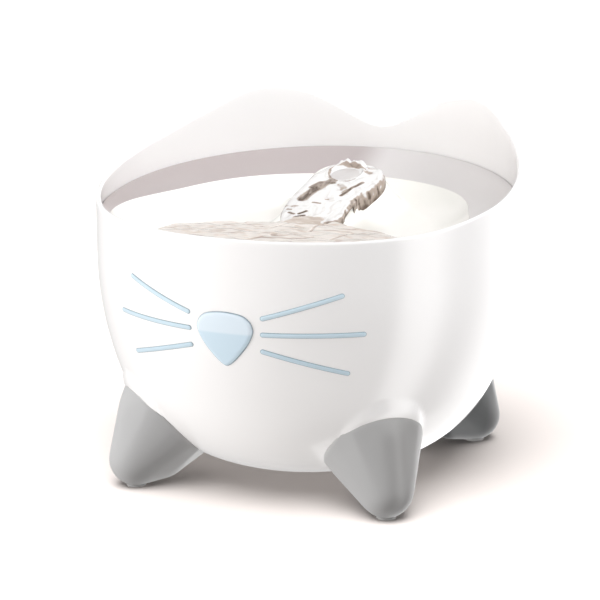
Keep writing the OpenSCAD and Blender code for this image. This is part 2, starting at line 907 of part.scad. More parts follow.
module volute_cover() {
    color(pump_grey)
        difference() {
            union() {
                pump_block(volute_end, cover_t, 0);
                on_pump_axis(volute_end - 1)
                    cylinder(h = cover_t + 1, r = shaft_boss_r);
            }
            difference() {
                on_pump_axis(volute_end - 2)
                    cylinder(h = cover_t + 4, r = inlet_hole_r);
                on_pump_axis(volute_end - 3)
                    cylinder(h = cover_t + 6, r = shaft_boss_r);
                for (turn = [0:120:240])
                    on_pump_axis(volute_end)
                        rotate([0, 0, turn])
                            translate([0, -spider_w / 2, -2])
                                cube([inlet_hole_r + 1, spider_w, cover_t + 4]);
            }
            on_pump_axis(volute_end - 2)
                cylinder(h = shaft_end - volute_end + 2, d = shaft_d);
        }
}

module outlet_seal() {
    color(rubber_black)
        translate([0, outlet_y, seal_z])
            rotate_extrude()
                translate([nipple_d / 2 - groove_depth + seal_r, 0])
                    circle(r = seal_r, $fn = 32);
}

module impeller() {
    color(filter_white)
        difference() {
            union() {
                on_pump_axis(rotor_start)
                    cylinder(h = rotor_end - rotor_start, r = sleeve_r);
                on_pump_axis(volute_start + play) {
                    cylinder(h = disc_t, d = impeller_d);
                    for (i = [0:blade_count - 1])
                        rotate([0, 0, i * 360 / blade_count])
                            translate([sleeve_r - 1, -blade_t / 2, disc_t / 2])
                                cube([impeller_d / 2 - sleeve_r + 1, blade_t, blade_end - volute_start - disc_t]);
                }
            }
            on_pump_axis(rotor_start - 1)
                cylinder(h = rotor_end - rotor_start + 2, r = shaft_d / 2 + shaft_gap);
        }
}

module rotor_magnet() {
    color(ferrite)
        difference() {
            on_pump_axis(rotor_start + 1)
                cylinder(h = volute_start - rotor_start - 1, d = magnet_d);
            on_pump_axis(rotor_start)
                cylinder(h = volute_start - rotor_start + 1, r = sleeve_r);
        }
}

module strainer_cover() {
    start = volute_end + cover_t;
    pitch = (pump_w - 2 * pump_corner) / strainer_slots;
    color(pump_grey)
        difference() {
            pump_block(start, strainer_l, 0);
            pump_block(start - 1, strainer_l + 1 - strainer_wall, strainer_wall);
            for (i = [0:strainer_slots - 1])
                translate([(i - (strainer_slots - 1) / 2) * pitch, start + strainer_l, pump_axis_z])
                    cube([strainer_slot_w, 4 * strainer_wall, pump_h - 2 * pump_corner], center = true);
        }
}

module prefilter_foam() {
    start = volute_end + cover_t;
    color(rubber_black)
        pump_block(start + foam_gap, strainer_l - strainer_wall - foam_gap, strainer_wall);
}

// ---- leads ------------------------------------------------------------------------------

lead_sides = 8;
lead_steps = 3;
boot_y = inlet_back - boot_t / 2;
cap_y = motor_start - cap_t;
lead_floor_gap = 4;
lead_side_gap = 13;
// Inset of each lead from the bowl's inside, measured to the lead's middle
pump_lead_inset = 3.5;
lamp_lead_inset = 3;
// Angle from the face and height of the leads' points along the bowl's side
pump_lead_marks = [[179.4, 82], [176.4, 62], [169.5, 46], [160.4, 33], [149, 20]];
lamp_lead_marks = [[0, 53], [0, 38], [0, 26], [-2, 20]];

// A point inside the bowl's side, at an angle from the face and a height
function side_point(mark, inset) =
    let (r = mark[1] < belly_turn_z
        ? low_belly_radius(mark[1], wall + inset)
        : high_centre_r + sqrt(pow(high_belly_r - wall - inset, 2) - pow(mark[1] - straight_z, 2)))
    polar(r, mark[0], mark[1]);

pump_lead_points = concat(
    [[0, boot_y, boot_z], [0, boot_y + 1, boot_z - 10]],
    [for (mark = pump_lead_marks) side_point(mark, pump_lead_inset)],
    [
        [pump_w / 2 + lead_side_gap, outlet_y, floor_z + lead_floor_gap + 1],
        [pump_w / 2 + lead_side_gap, outlet_y - 22, floor_z + lead_floor_gap],
        [pump_w / 2 + lead_side_gap - 3, motor_start + 4, floor_z + lead_floor_gap],
        [21, motor_start - 12, floor_z + 8], [12, motor_start - 20, lead_gland_z - 13],
        [9, motor_start - 16, lead_gland_z - 3],
        [lead_gland_x, motor_start - 9, lead_gland_z], [lead_gland_x, cap_y, lead_gland_z]
    ]
);
lamp_lead_y = -(board_front + lamp_lead_d);
lamp_lead_points = concat(
    [[0, lamp_lead_y, nose_z - lamp_h / 2], [0, lamp_lead_y, nose_z - lamp_h / 2 - 8]],
    [for (mark = lamp_lead_marks) side_point(mark, lamp_lead_inset)],
    [
        [-6, motor_start - 26, floor_z + 12], [-lead_gland_x, motor_start - 19, lead_gland_z - 10],
        [-lead_gland_x, motor_start - 10, lead_gland_z], [-lead_gland_x, cap_y, lead_gland_z]
    ]
);
pump_clip_marks = [6, 12, 24];
lamp_clip_marks = [6, 12];
clip_wall = 3.2;
clip_gap = 0.2;

pump_lead_path = smooth_path(pump_lead_points, lead_steps);
lamp_lead_path = smooth_path(lamp_lead_points, lead_steps);

module pump_lead() {
    color(rubber_black)
        swept_tube(pump_lead_path, pump_lead_d / 2, lead_sides);
}

module lamp_lead() {
    color(rubber_black)
        swept_tube(lamp_lead_path, lamp_lead_d / 2, lead_sides);
}

// A saddle glued to the bowl around one point of a lead
module lead_clip(path, mark, d) {
    at = path[mark];
    along = unit(path[mark + 1] - path[mark - 1]);
    intersection() {
        translate(at)
            rotate([0, acos(along[2]), atan2(along[1], along[0])])
                difference() {
                    cylinder(h = clip_l, r = d / 2 + clip_wall, center = true, $fn = 32);
                    cylinder(h = clip_l + 2, r = d / 2 + clip_gap, center = true, $fn = 32);
                }
        belly_solid(wall);
    }
}

module lead_clips() {
    color(warm_white) {
        for (mark = pump_clip_marks)
            lead_clip(pump_lead_path, mark, pump_lead_d);
        for (mark = lamp_clip_marks)
            lead_clip(lamp_lead_path, mark, lamp_lead_d);
    }
}

// ---- bowl -------------------------------------------------------------------------------

// Everything above the wavy rim, close around the wall
module rim_cutter() {
    ring_solid([
        for (a = [0:rim_step:360 - rim_step])
            let (low = rim_z(a <= 180 ? a : 360 - a))
            [
                polar(inner_r - 4, a, low), polar(bowl_r + 4, a, low),
                polar(bowl_r + 4, a, ear_z + 4), polar(inner_r - 4, a, ear_z + 4)
            ]
    ]);
}

module rib(angle) {
    low_r = bowl_r - low_step_reach;
    high_r = bowl_r - high_step_reach;
    intersection() {
        rotate([0, 0, angle - 90])
            rotate([90, 0, 0])
                linear_extrude(height = rib_t, center = true)
                    polygon([
                        [low_r, bowl_clear], [low_r, tray_seat_z], [high_r, tray_seat_z],
                        [high_r, dish_seat_z], [bowl_r, dish_seat_z], [bowl_r, bowl_clear]
                    ]);
        belly_solid(wall / 2);
    }
}

module lamp_boss() {
    intersection() {
        union() {
            lamp_slab(lamp_w, lamp_h, lamp_seat_r, bowl_r);
            lamp_rods(lamp_ear_r, lamp_seat_r, bowl_r);
        }
        belly_solid(wall / 2);
    }
}

module inlet_boss() {
    intersection() {
        on_inlet_axis(inlet_boss_face)
            cylinder(h = bowl_r, r = inlet_flange_r + inlet_boss_rim);
        belly_solid(wall / 2);
    }
}

module foot_boss() {
    difference() {
        union() {
            on_foot_screw()
                translate([0, 0, boss_start])
                    cylinder(h = boss_start, r = boss_r);
            brow();
        }
        belly_solid(wall / 2);
    }
}

module bowl_shell() {
    difference() {
        rotate_extrude()
            polygon(concat(
                belly(0), [[bowl_r, ear_z + 1], [inner_r, ear_z + 1]], reversed(belly(wall))
            ));
        rim_cutter();
    }
}

module bowl() {
    color(warm_white)
        difference() {
            union() {
                bowl_shell();
                for (i = [0:rib_count - 1])
                    rib((i + 0.5) * 360 / rib_count);
                lamp_boss();
                inlet_boss();
                each_foot()
                    foot_boss();
            }
            nose_prism(0, lamp_seat_r - 1, face_far);
            for (side = [-1, 1], row = whisker_rows)
                difference() {
                    whisker_prism(side, row);
                    belly_solid(whisker_depth);
                }
            lamp_rods(lamp_screw_d / 2, lamp_seat_r - 1, lamp_seat_r + lamp_screw_bite);
            on_inlet_axis(inlet_face)
                cylinder(h = inlet_pocket + 1, r = inlet_flange_r);
            on_inlet_axis(inlet_boss_face - 1)
                cylinder(h = bowl_r, d = inlet_barrel_d);
            each_foot()
                on_foot_screw()
                    translate([0, 0, boss_start - 1])
                        cylinder(h = screw_bite + 1, d = foot_screw_d);
        }
}

// ---- filter tray ------------------------------------------------------------------------

tray_r = lamp_back - tray_gap;
tray_lug_w = 9;
tray_lug_gap = 0.6;
tray_lug_root = 2;
tray_lug_end = bowl_r - high_step_reach - tray_lug_gap;
tray_drain_d = 7;
// Each ring of drain holes: its radius as a share of the tray's, and its number of holes
tray_drain_rings = [[0.28, 6], [0.52, 12], [0.76, 18]];
riser_r = riser_bore / 2 + riser_wall;
riser_socket_r = nipple_d / 2 - groove_depth + 2 * seal_r + 0.05;
riser_socket_outer = riser_socket_r + riser_wall;
riser_foot_z = pump_axis_z + pump_h / 2 + 1;
riser_rise = 6;
riser_neck = 4;
riser_shelf_h = 5;
riser_low_z = nipple_top + riser_rise;
riser_high_z = tray_seat_z - riser_neck;
riser_run = spout_y - outlet_y;
riser_lean = atan2(riser_run, riser_high_z - riser_low_z);
riser_leg = norm([riser_run, riser_high_z - riser_low_z]);
collar_h = 4;
elbow_bead = 0.3;

module filter_tray() {
    color(filter_white)
        difference() {
            union() {
                translate([0, 0, tray_seat_z])
                    cylinder(h = tray_h, r = tray_r);
                for (i = [0:rib_count - 1])
                    rotate([0, 0, (i + 0.5) * 360 / rib_count])
                        translate([-tray_lug_w / 2, -tray_lug_end, tray_seat_z])
                            cube([tray_lug_w, tray_lug_end - tray_r + tray_lug_root, tray_t + 1]);
            }
            difference() {
                translate([0, 0, tray_seat_z + tray_t])
                    cylinder(h = tray_h, r = tray_r - tray_t);
                translate([0, spout_y, 0])
                    cylinder(h = tray_seat_z + tray_t + collar_h, r = riser_r + tray_t);
            }
            translate([0, spout_y, tray_seat_z - 1])
                cylinder(h = tray_h, r = riser_r);
            for (ring = tray_drain_rings, i = [0:ring[1] - 1])
                let (at = polar(ring[0] * tray_r, (i + 0.5) * 360 / ring[1], 0))
                if (norm([at[0], at[1] - spout_y]) > riser_r + tray_t + tray_drain_d)
                    translate([at[0], at[1], tray_seat_z - 1])
                        cylinder(h = tray_t + 2, d = tray_drain_d, $fn = 32);
        }
}

// The tube's outside or inside: an upright foot, a leaning middle and an upright top
module riser_form(foot_r, r, grow) {
    translate([0, outlet_y, riser_foot_z - grow])
        cylinder(h = riser_low_z - riser_rise / 2 - riser_foot_z + grow, r = foot_r);
    translate([0, outlet_y, riser_low_z - riser_neck])
        cylinder(h = riser_neck, r = r);
    translate([0, outlet_y, riser_low_z]) {
        sphere(r = r + elbow_bead);
        rotate([-riser_lean, 0, 0])
            cylinder(h = riser_leg, r = r);
    }
    translate([0, spout_y, riser_high_z]) {
        sphere(r = r + elbow_bead);
        cylinder(h = riser_top_z - riser_high_z + grow, r = r);
    }
}

module riser_tube() {
    color(lens_clear)
        difference() {
            riser_form(riser_socket_outer, riser_r, 0);
            difference() {
                riser_form(riser_socket_r, riser_bore / 2, 1);
                translate([0, outlet_y, nipple_top + 1])
                    difference() {
                        cylinder(h = riser_shelf_h, r = riser_socket_outer);
                        translate([0, 0, -1])
                            cylinder(h = riser_shelf_h + 2, d = riser_bore);
                    }
            }
        }
}

// ---- filter cartridge -------------------------------------------------------------------

cartridge_r = tray_r - tray_t - cartridge_gap;
cartridge_z = tray_seat_z + tray_t;
carbon_z = cartridge_z + cartridge_t;
felt_z = carbon_z + carbon_h;
lid_z = felt_z + felt_h;
lid_h = 1.6;
sleeve_gap = 1;
sleeve_bore_r = riser_r + tray_t + sleeve_gap;
sleeve_outer_r = sleeve_bore_r + cartridge_t;
slot_w = 5;
// Each row of slots: number, and inner and outer end as shares of the cartridge's radius
slot_rows = [[12, 0.16, 0.5], [24, 0.58, 0.92]];

// The sleeve through which the riser tube passes
module cartridge_sleeve(r, z, h) {
    translate([0, spout_y, z])
        cylinder(h = h, r = r);
}

// Radial openings between an inner and an outer radius
module radial_slots(count, from, to, z, h) {
    for (i = [0:count - 1])
        rotate([0, 0, (i + 0.5) * 360 / count])
            translate([-slot_w / 2, -to, z])
                cube([slot_w, to - from, h]);
}

module cartridge_slots(z, h) {
    difference() {
        for (row = slot_rows)
            radial_slots(row[0], row[1] * cartridge_r, row[2] * cartridge_r, z, h);
        cartridge_sleeve(sleeve_outer_r + 2, z - 1, h + 2);
    }
}

module cartridge_frame() {
    color(filter_white)
        difference() {
            union() {
                difference() {
                    translate([0, 0, cartridge_z])
                        cylinder(h = lid_z - cartridge_z, r = cartridge_r);
                    translate([0, 0, carbon_z])
                        cylinder(h = lid_z, r = cartridge_r - cartridge_t);
                }
                cartridge_sleeve(sleeve_outer_r, cartridge_z, lid_z - cartridge_z);
            }
            cartridge_sleeve(sleeve_bore_r, cartridge_z - 1, lid_z);
            cartridge_slots(cartridge_z - 1, cartridge_t + 2);
        }
}

module cartridge_layer(z, h) {
    difference() {
        translate([0, 0, z])
            cylinder(h = h, r = cartridge_r - cartridge_t);
        cartridge_sleeve(sleeve_outer_r, z - 1, h + 2);
    }
}

module cartridge_carbon() {
    color(carbon_black)
        cartridge_layer(carbon_z, carbon_h);
}

module cartridge_felt() {
    color("#f4f2ea")
        cartridge_layer(felt_z, felt_h);
}

module cartridge_lid() {
    color(filter_white)
        difference() {
            translate([0, 0, lid_z])
                cylinder(h = lid_h, r = cartridge_r);
            cartridge_sleeve(sleeve_bore_r, lid_z - 1, lid_h + 2);
            cartridge_slots(lid_z - 1, lid_h + 2);
        }
}

// ---- drinking dish ----------------------------------------------------------------------

flange_top = basin_rim_z - dish_t;
flange_z = flange_top - dish_t;
seat_skirt_t = 2.8;
basin_depth = basin_rim_z - basin_floor_z;
basin_curve_w = 20;
basin_curve_r = (pow(basin_curve_w, 2) + pow(basin_depth, 2)) / (2 * basin_depth);
basin_curve_end = atan2(basin_depth - basin_curve_r, basin_curve_w);
basin_curve_centre = [basin_r - basin_curve_w, basin_floor_z + basin_curve_r];
socket_gap = 0.3;
socket_l = 14;
socket_r = riser_r + socket_gap;
socket_outer_r = socket_r + dish_t;
socket_bottom = riser_top_z - socket_l;
spout_ring_wall = 1.8;
flange_inside_r = basin_r - 1.9;
spout_ring_r = spout_r + spout_ring_wall;
spout_ring_h = 4;
hill_crown_t = 2;
hill_foot_r = 31;
hill_foot_t = 3;
hill_foot_y = spout_y - 2;
hill_toe_y = -12;
hill_toe_r = 19;
hill_toe_t = 1;
drain_l = 13;
drain_r = basin_r - 27;
collar_seam = 0.1;

// Distance of the basin's edge from the bowl's axis, at an angle from the face
function basin_edge(angle) =
    basin_shift * cos(angle) + sqrt(pow(basin_r, 2) - pow(basin_shift * sin(angle), 2));

// Height of the collar's outer edge: level over the face, then rising to the back
function collar_z(angle) =
    let (back = (1 - cos(angle)) / 2, rise = (back - 0.43) / 0.57)
    collar_front_z + (collar_back_z - collar_front_z) * (rise + sqrt(rise * rise + 0.004)) / 2;

// The hill that carries the spout, made smaller all round by inset
module hill(inset) {
    hull() {
        translate([0, spout_y, spout_z])
            rotate([spout_tilt, 0, 0])
                translate([0, 0, -hill_crown_t - inset])
                    cylinder(h = hill_crown_t, r = hill_r - inset, $fn = 48);
        translate([0, hill_foot_y, basin_floor_z - dish_t])
            cylinder(h = hill_foot_t - inset / 2, r = hill_foot_r - inset, $fn = 48);
        translate([0, hill_toe_y, basin_floor_z - dish_t])
            cylinder(h = hill_toe_t, r = hill_toe_r - inset, $fn = 48);
    }
}

module basin_cut(r, z, h) {
    translate([0, -basin_shift, z])
        cylinder(h = h, r = r);
}

module basin_shell() {
    translate([0, -basin_shift, 0])
        rotate_extrude()
            intersection() {
                polygon(concat(
                    [[0, basin_floor_z]],
                    arc(basin_curve_centre, basin_curve_r, -90, basin_curve_end, 8),
                    reversed(arc(basin_curve_centre, basin_curve_r + dish_t, -90, basin_curve_end, 8)),
                    [[0, basin_floor_z - dish_t]]
                ));
                union() {
                    square([basin_r, basin_rim_z]);
                    square([bowl_r, flange_top]);
                }
            }
}

module drinking_dish() {
    color("#f7f5ef")
        difference() {
            union() {
                difference() {
                    union() {
                        basin_shell();
                        intersection() {
                            hill(0);
                            basin_cut(basin_r, basin_floor_z - dish_t, basin_r);
                        }
                    }
                    translate([0, 0, -eps])
                        hill(dish_t);
                }
                difference() {
                    translate([0, 0, flange_z])
                        cylinder(h = dish_t, r = dish_r);
                    basin_cut(flange_inside_r, flange_z - 1, dish_t + 2);
                }
                difference() {
                    translate([0, 0, dish_seat_z])
                        cylinder(h = flange_top - dish_seat_z, r = dish_r);
                    translate([0, 0, dish_seat_z - 1])
                        cylinder(h = flange_top, r = dish_r - seat_skirt_t);
                }
                intersection() {
                    translate([0, spout_y, socket_bottom])
                        cylinder(h = spout_z, r = socket_outer_r);
                    union() {
                        hill(0);
                        translate([0, spout_y, 0])
                            cylinder(h = basin_floor_z, r = socket_outer_r);
                    }
                }
            }
            translate([0, spout_y, socket_bottom - 1])
                cylinder(h = spout_z, r = socket_r);
            translate([0, spout_y, spout_z])
                rotate([spout_tilt, 0, 0])
                    translate([0, 0, -spout_ring_h])
                        cylinder(h = 2 * spout_ring_h, r = spout_ring_r);
            for (i = [0:drain_count - 1])
                translate([0, -basin_shift, 0])
                    rotate([0, 0, (i - (drain_count - 1) / 2) * 90 / drain_count])
                        translate([-drain_w / 2, -drain_r - drain_l, basin_floor_z - dish_t - 1])
                            cube([drain_w, drain_l, 2 * dish_t + 2]);
        }
}

module dish_collar() {
    color("#cfc9c6")
        ring_solid([
            for (a = [0:rim_step:360 - rim_step])
                let (edge = basin_edge(a) + collar_seam, top = collar_z(a))
                [
                    polar(edge, a, flange_top), polar(edge, a, basin_rim_z), polar(dish_r, a, top),
                    polar(dish_r, a, flange_top), polar(dish_r - dish_t, a, flange_top),
                    polar(dish_r - dish_t, a, top - dish_t),
                    polar(edge + dish_t, a, flange_top + eps)
                ]
        ]);
}

module spout_ring() {
    color("#dcd8d6")
        translate([0, spout_y, spout_z])
            rotate([spout_tilt, 0, 0])
                translate([0, 0, -spout_ring_h])
                    difference() {
                        cylinder(h = spout_ring_h, r = spout_ring_r);
                        translate([0, 0, -1])
                            cylinder(h = spout_ring_h + 2, r = spout_r);
                    }
}

// ---- nodes ------------------------------------------------------------------------------

bowl();
foot(foot_angles[0]);  // foot_front_left
foot(foot_angles[1]);  // foot_front_right
foot(foot_angles[2]);  // foot_rear_left
foot(foot_angles[3]);  // foot_rear_right
foot_pads();
foot_screws();
nose_lens();
nose_gasket();
whisker(-1, whisker_rows[0]);  // whisker_left_upper
whisker(-1, whisker_rows[1]);  // whisker_left_middle
whisker(-1, whisker_rows[2]);  // whisker_left_lower
whisker(1, whisker_rows[0]);  // whisker_right_upper
whisker(1, whisker_rows[1]);  // whisker_right_middle
whisker(1, whisker_rows[2]);  // whisker_right_lower
lamp_housing();
lamp_board();
lamp_chip();
lamp_screws();
power_inlet();
inlet_pin();
inlet_gasket();
inlet_nut();
inlet_boot();
pump_lead();
lamp_lead();
lead_clips();
suction_cups();
pump_body();
motor_cap();
stator_core();
stator_coil();
pump_shaft();
volute_cover();
outlet_seal();
impeller();
rotor_magnet();
strainer_cover();
prefilter_foam();
filter_tray();
riser_tube();
cartridge_frame();
cartridge_carbon();
cartridge_felt();
cartridge_lid();
drinking_dish();
dish_collar();
spout_ring();
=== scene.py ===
"""A pet water fountain, dressed: a white bowl with two ear-shaped peaks, paw-like feet and a blue nose.

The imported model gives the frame. The sizes below are millimetres in that frame, and each finished
mesh is turned to metres once, when its piece is made.
"""

import json
import logging
import math
from abc import ABC, abstractmethod
from collections.abc import Callable, Sequence
from dataclasses import dataclass
from enum import Enum
from typing import Any

import bmesh
import bpy
from bmesh.types import BMEdge, BMFace, BMVert, BMesh
from bpy.types import Light, Material, Node, NodeSocket, NodeTree, Object
from mathutils import Matrix, Vector, noise
from mathutils.bvhtree import BVHTree

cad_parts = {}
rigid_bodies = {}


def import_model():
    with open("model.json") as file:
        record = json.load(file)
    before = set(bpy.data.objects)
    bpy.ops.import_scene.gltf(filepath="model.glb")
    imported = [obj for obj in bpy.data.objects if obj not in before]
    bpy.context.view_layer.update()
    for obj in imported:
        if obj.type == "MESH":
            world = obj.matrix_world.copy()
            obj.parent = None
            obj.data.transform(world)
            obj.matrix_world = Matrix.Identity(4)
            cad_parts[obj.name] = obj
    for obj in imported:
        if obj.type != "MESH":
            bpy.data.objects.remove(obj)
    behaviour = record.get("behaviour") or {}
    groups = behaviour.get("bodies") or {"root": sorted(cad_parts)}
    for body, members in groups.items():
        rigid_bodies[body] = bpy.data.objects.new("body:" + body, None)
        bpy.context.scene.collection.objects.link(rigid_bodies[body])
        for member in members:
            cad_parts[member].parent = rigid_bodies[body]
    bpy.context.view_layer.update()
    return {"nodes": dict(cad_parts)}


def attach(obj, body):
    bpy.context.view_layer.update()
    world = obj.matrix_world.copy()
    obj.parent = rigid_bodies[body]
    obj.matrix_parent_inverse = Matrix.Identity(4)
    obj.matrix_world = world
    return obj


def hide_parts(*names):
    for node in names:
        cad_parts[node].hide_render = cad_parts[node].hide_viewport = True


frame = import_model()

log = logging.getLogger("pet_fountain")

MM = 0.001
# Points nearer than this, in millimetres, become one at a pole or a pinched end.
POLE_MERGE = 0.002
# The name of the attribute that says how near a point is to an edge or a fold, from 0 to 1; the finishes
# paint shade by it.
EDGE = "edge"

# Two lines whose cross product is below this never meet, and a line that misses a point by less
# than the second meets it.
PARALLEL = 1e-12
TOUCH = 1e-9

Point2 = tuple[float, float]
Loop2 = Sequence[Point2]

# Each foot's name, and its direction in degrees from the face.
FEET = {
    "foot_front_left": -45.0,
    "foot_front_right": 45.0,
    "foot_rear_left": -135.0,
    "foot_rear_right": 135.0,
}


class Body(Enum):
    """The bodies that the pieces made here ride on."""

    BASE = "base"
    DISH = "dish"


class Side(Enum):
    """A side of the face, as the sign of X."""

    LEFT = -1
    RIGHT = 1


# ---- small helpers ----


def linear(hex_colour: str) -> tuple[float, float, float, float]:
    """Turns an sRGB colour "#rrggbb" into linear red, green, blue and full alpha."""
    parts = [int(hex_colour[i : i + 2], 16) / 255 for i in (1, 3, 5)]
    return (*(c / 12.92 if c <= 0.04045 else ((c + 0.055) / 1.055) ** 2.4 for c in parts), 1.0)


def per_metre(size_mm: float) -> float:
    """Gives the pattern scale, in patterns to the metre, of a pattern size_mm across."""
    return 1000.0 / size_mm


def smooth(low: float, high: float, x: float) -> float:
    """Rises smoothly from 0 at low to 1 at high."""
    t = min(max((x - low) / (high - low), 0.0), 1.0)
    return t * t * (3 - 2 * t)


def blend(a: float, b: float, t: float) -> float:
    """Goes from a at t = 0 to b at t = 1."""
    return a + (b - a) * t


def lookup(marks: Sequence[Point2], x: float) -> float:
    """Straight-line value at x through a rising list of (x, value), held at its ends.

    Args:
        marks: The list.
        x: Where to look.

    Returns:
        The value.
    """
    if x <= marks[0][0]:
        return marks[0][1]
    for (x0, y0), (x1, y1) in zip(marks, marks[1:]):
        if x <= x1:
            return blend(y0, y1, (x - x0) / (x1 - x0))
    return marks[-1][1]


def through(marks: Sequence[Point2], x: float) -> float:
    """Gives the smooth value at x through a rising list of (x, value).

    Args:
        marks: The list.
        x: Where to look.

    Returns:
        The value.
    """
    last = len(marks) - 1
    i = next((k for k in range(last) if x <= marks[k + 1][0]), last - 1)
    slopes = []
    for k in (i, i + 1):
        a, b = marks[max(k - 1, 0)], marks[min(k + 1, last)]
        slopes.append((b[1] - a[1]) / (b[0] - a[0]))
    span = marks[i + 1][0] - marks[i][0]
    t = (x - marks[i][0]) / span
    return (
        marks[i][1] * (2 * t**3 - 3 * t**2 + 1)
        + slopes[0] * span * (t**3 - 2 * t**2 + t)
        + marks[i + 1][1] * (3 * t**2 - 2 * t**3)
        + slopes[1] * span * (t**3 - t**2)
    )


def face_angle(x: float, y: float) -> float:
    """Gives a point's direction in degrees: 0 at the face, rising to its right, 180 at the back."""
    return math.degrees(math.atan2(x, -y))


def direction(steps: int, x: float, y: float) -> int:
    """Gives the number of the direction that a point lies in, of steps counted from +X to the left."""
    return round(math.atan2(y, x) * steps / (2 * math.pi)) % steps


def unit(steps: int, k: int) -> Vector:
    """Gives the unit vector of direction k of steps."""
    turn = 2 * math.pi * k / steps
    return Vector((math.cos(turn), math.sin(turn)))


def towards(angle: float) -> Vector:
    """Gives the unit vector in plan at an angle in degrees from the face."""
    turn = math.radians(angle)
    return Vector((math.sin(turn), -math.cos(turn)))


def rounded(gap: float, width: float) -> float:
    """Rises as a quarter round from 0 at an edge to 1 at width from it."""
    return math.sqrt(1 - (1 - min(max(gap / width, 0.0), 1.0)) ** 2)


def ripple(x: float, y: float, seed: float) -> float:
    """Gives the noise at a point, from about -1 to 1, in the slice that seed names."""
    return noise.noise(Vector((x, y, seed)))


def catmull(a: Vector, b: Vector, c: Vector, d: Vector, t: float) -> Vector:
    """Gives the point at t between b and c on a smooth line through a, b, c and d."""
    bend, twist = 2 * a - 5 * b + 4 * c - d, 3 * b - a - 3 * c + d
    return 0.5 * (2 * b + (c - a) * t + bend * t**2 + twist * t**3)


def smooth_loop(points: Loop2, steps: int) -> list[Vector]:
    """Draws a smooth closed line through points.

    Args:
        points: The points of the loop, in order.
        steps: Steps between one point and the next.

    Returns:
        The points of the smooth loop.
    """
    ring = [Vector(p) for p in points]
    n = len(ring)
    return [
        catmull(ring[i - 1], ring[i], ring[(i + 1) % n], ring[(i + 2) % n], s / steps)
        for i in range(n)
        for s in range(steps)
    ]


def reach_of(loop: Sequence[Vector], centre: Vector, steps: int) -> list[float]:
    """Measures how far a closed outline lies from a point inside it, in each direction.

    Args:
        loop: The outline's points.
        centre: A point inside it.
        steps: Number of directions, counted from +X and turning left.

    Returns:
        The distance in each direction.
    """
    reaches = []
    for k in range(steps):
        ray = unit(steps, k)
        best = 0.0
        for p, q in zip(loop, [*loop[1:], loop[0]]):
            a, edge = p - centre, q - p
            cross = ray.x * edge.y - ray.y * edge.x
            if abs(cross) < PARALLEL:
                continue
            along = (a.x * edge.y - a.y * edge.x) / cross
            share = (a.x * ray.y - a.y * ray.x) / cross
            if along > 0 and -TOUCH <= share <= 1 + TOUCH:
                best = max(best, along)
        reaches.append(best)
    return reaches


def add_node(
    tree: NodeTree,
    kind: str,
    settings: dict[str, Any] | None = None,
    sockets: dict[str | int, Any] | None = None,
) -> Node:
    """Adds one node, with its settings and what goes into its sockets.

    Args:
        tree: The node tree.
        kind: The node's type.
        settings: The node's properties by name.
        sockets: Input sockets by name or number, each with a value or another node's output.

    Returns:
        The node.
    """
    node = tree.nodes.new(kind)
    for name, value in (settings or {}).items():
        setattr(node, name, value)
    for key, value in (sockets or {}).items():
        if isinstance(value, NodeSocket):
            tree.links.new(value, node.inputs[key])
        else:
            node.inputs[key].default_value = value
    return node


# ---- finishes ----

# Settings of a node that mixes colours, and of one that changes softly from one value to another.
COLOURS = {"data_type": "RGBA"}
SOFTLY = {"interpolation_type": "SMOOTHSTEP"}

# Where the values of a noise mostly lie.
NOISE_LOW, NOISE_HIGH = 0.3, 0.7

ACRYLIC_IOR = 1.49
WATER_IOR = 1.333
RUBBER_IOR = 1.52


@dataclass(frozen=True)
class Finish(ABC):
    """A material, made once and shared by the pieces that wear it."""

    name: str

    def material(self) -> Material:
        """Gives the Blender material, made at its first use.

        Returns:
            The material.
        """
        known = bpy.data.materials.get(self.name)
        if known:
            return known
        made = bpy.data.materials.new(self.name)
        made.use_nodes = True
        tree = made.node_tree
        tree.nodes.clear()
        shader = add_node(tree, "ShaderNodeBsdfPrincipled", sockets=self.shading(tree))
        add_node(tree, "ShaderNodeOutputMaterial", sockets={"Surface": shader.outputs[0]})
        return made

    @abstractmethod
    def shading(self, tree: NodeTree) -> dict[str, Any]:
        """Builds the nodes and gives what goes into each of the shader's sockets."""


@dataclass(frozen=True)
class TonedFinish(Finish):
    """A material whose colour lies between two tones."""

    colour: str
    shade: str

    def tone(self, tree: NodeTree, share: NodeSocket) -> NodeSocket:
        """Builds the colour: the first tone where share is 0, the second where it is 1."""
        tones = {0: share, 6: linear(self.colour), 7: linear(self.shade)}
        return add_node(tree, "ShaderNodeMix", COLOURS, tones).outputs[2]


def place(tree: NodeTree, stretch: Sequence[float] = (1, 1, 1)) -> NodeSocket:
    """Gives the piece's own coordinates, in metres, multiplied by stretch."""
    own = add_node(tree, "ShaderNodeTexCoord").outputs["Object"]
    return add_node(tree, "ShaderNodeMapping", sockets={"Vector": own, "Scale": tuple(stretch)}).outputs[0]


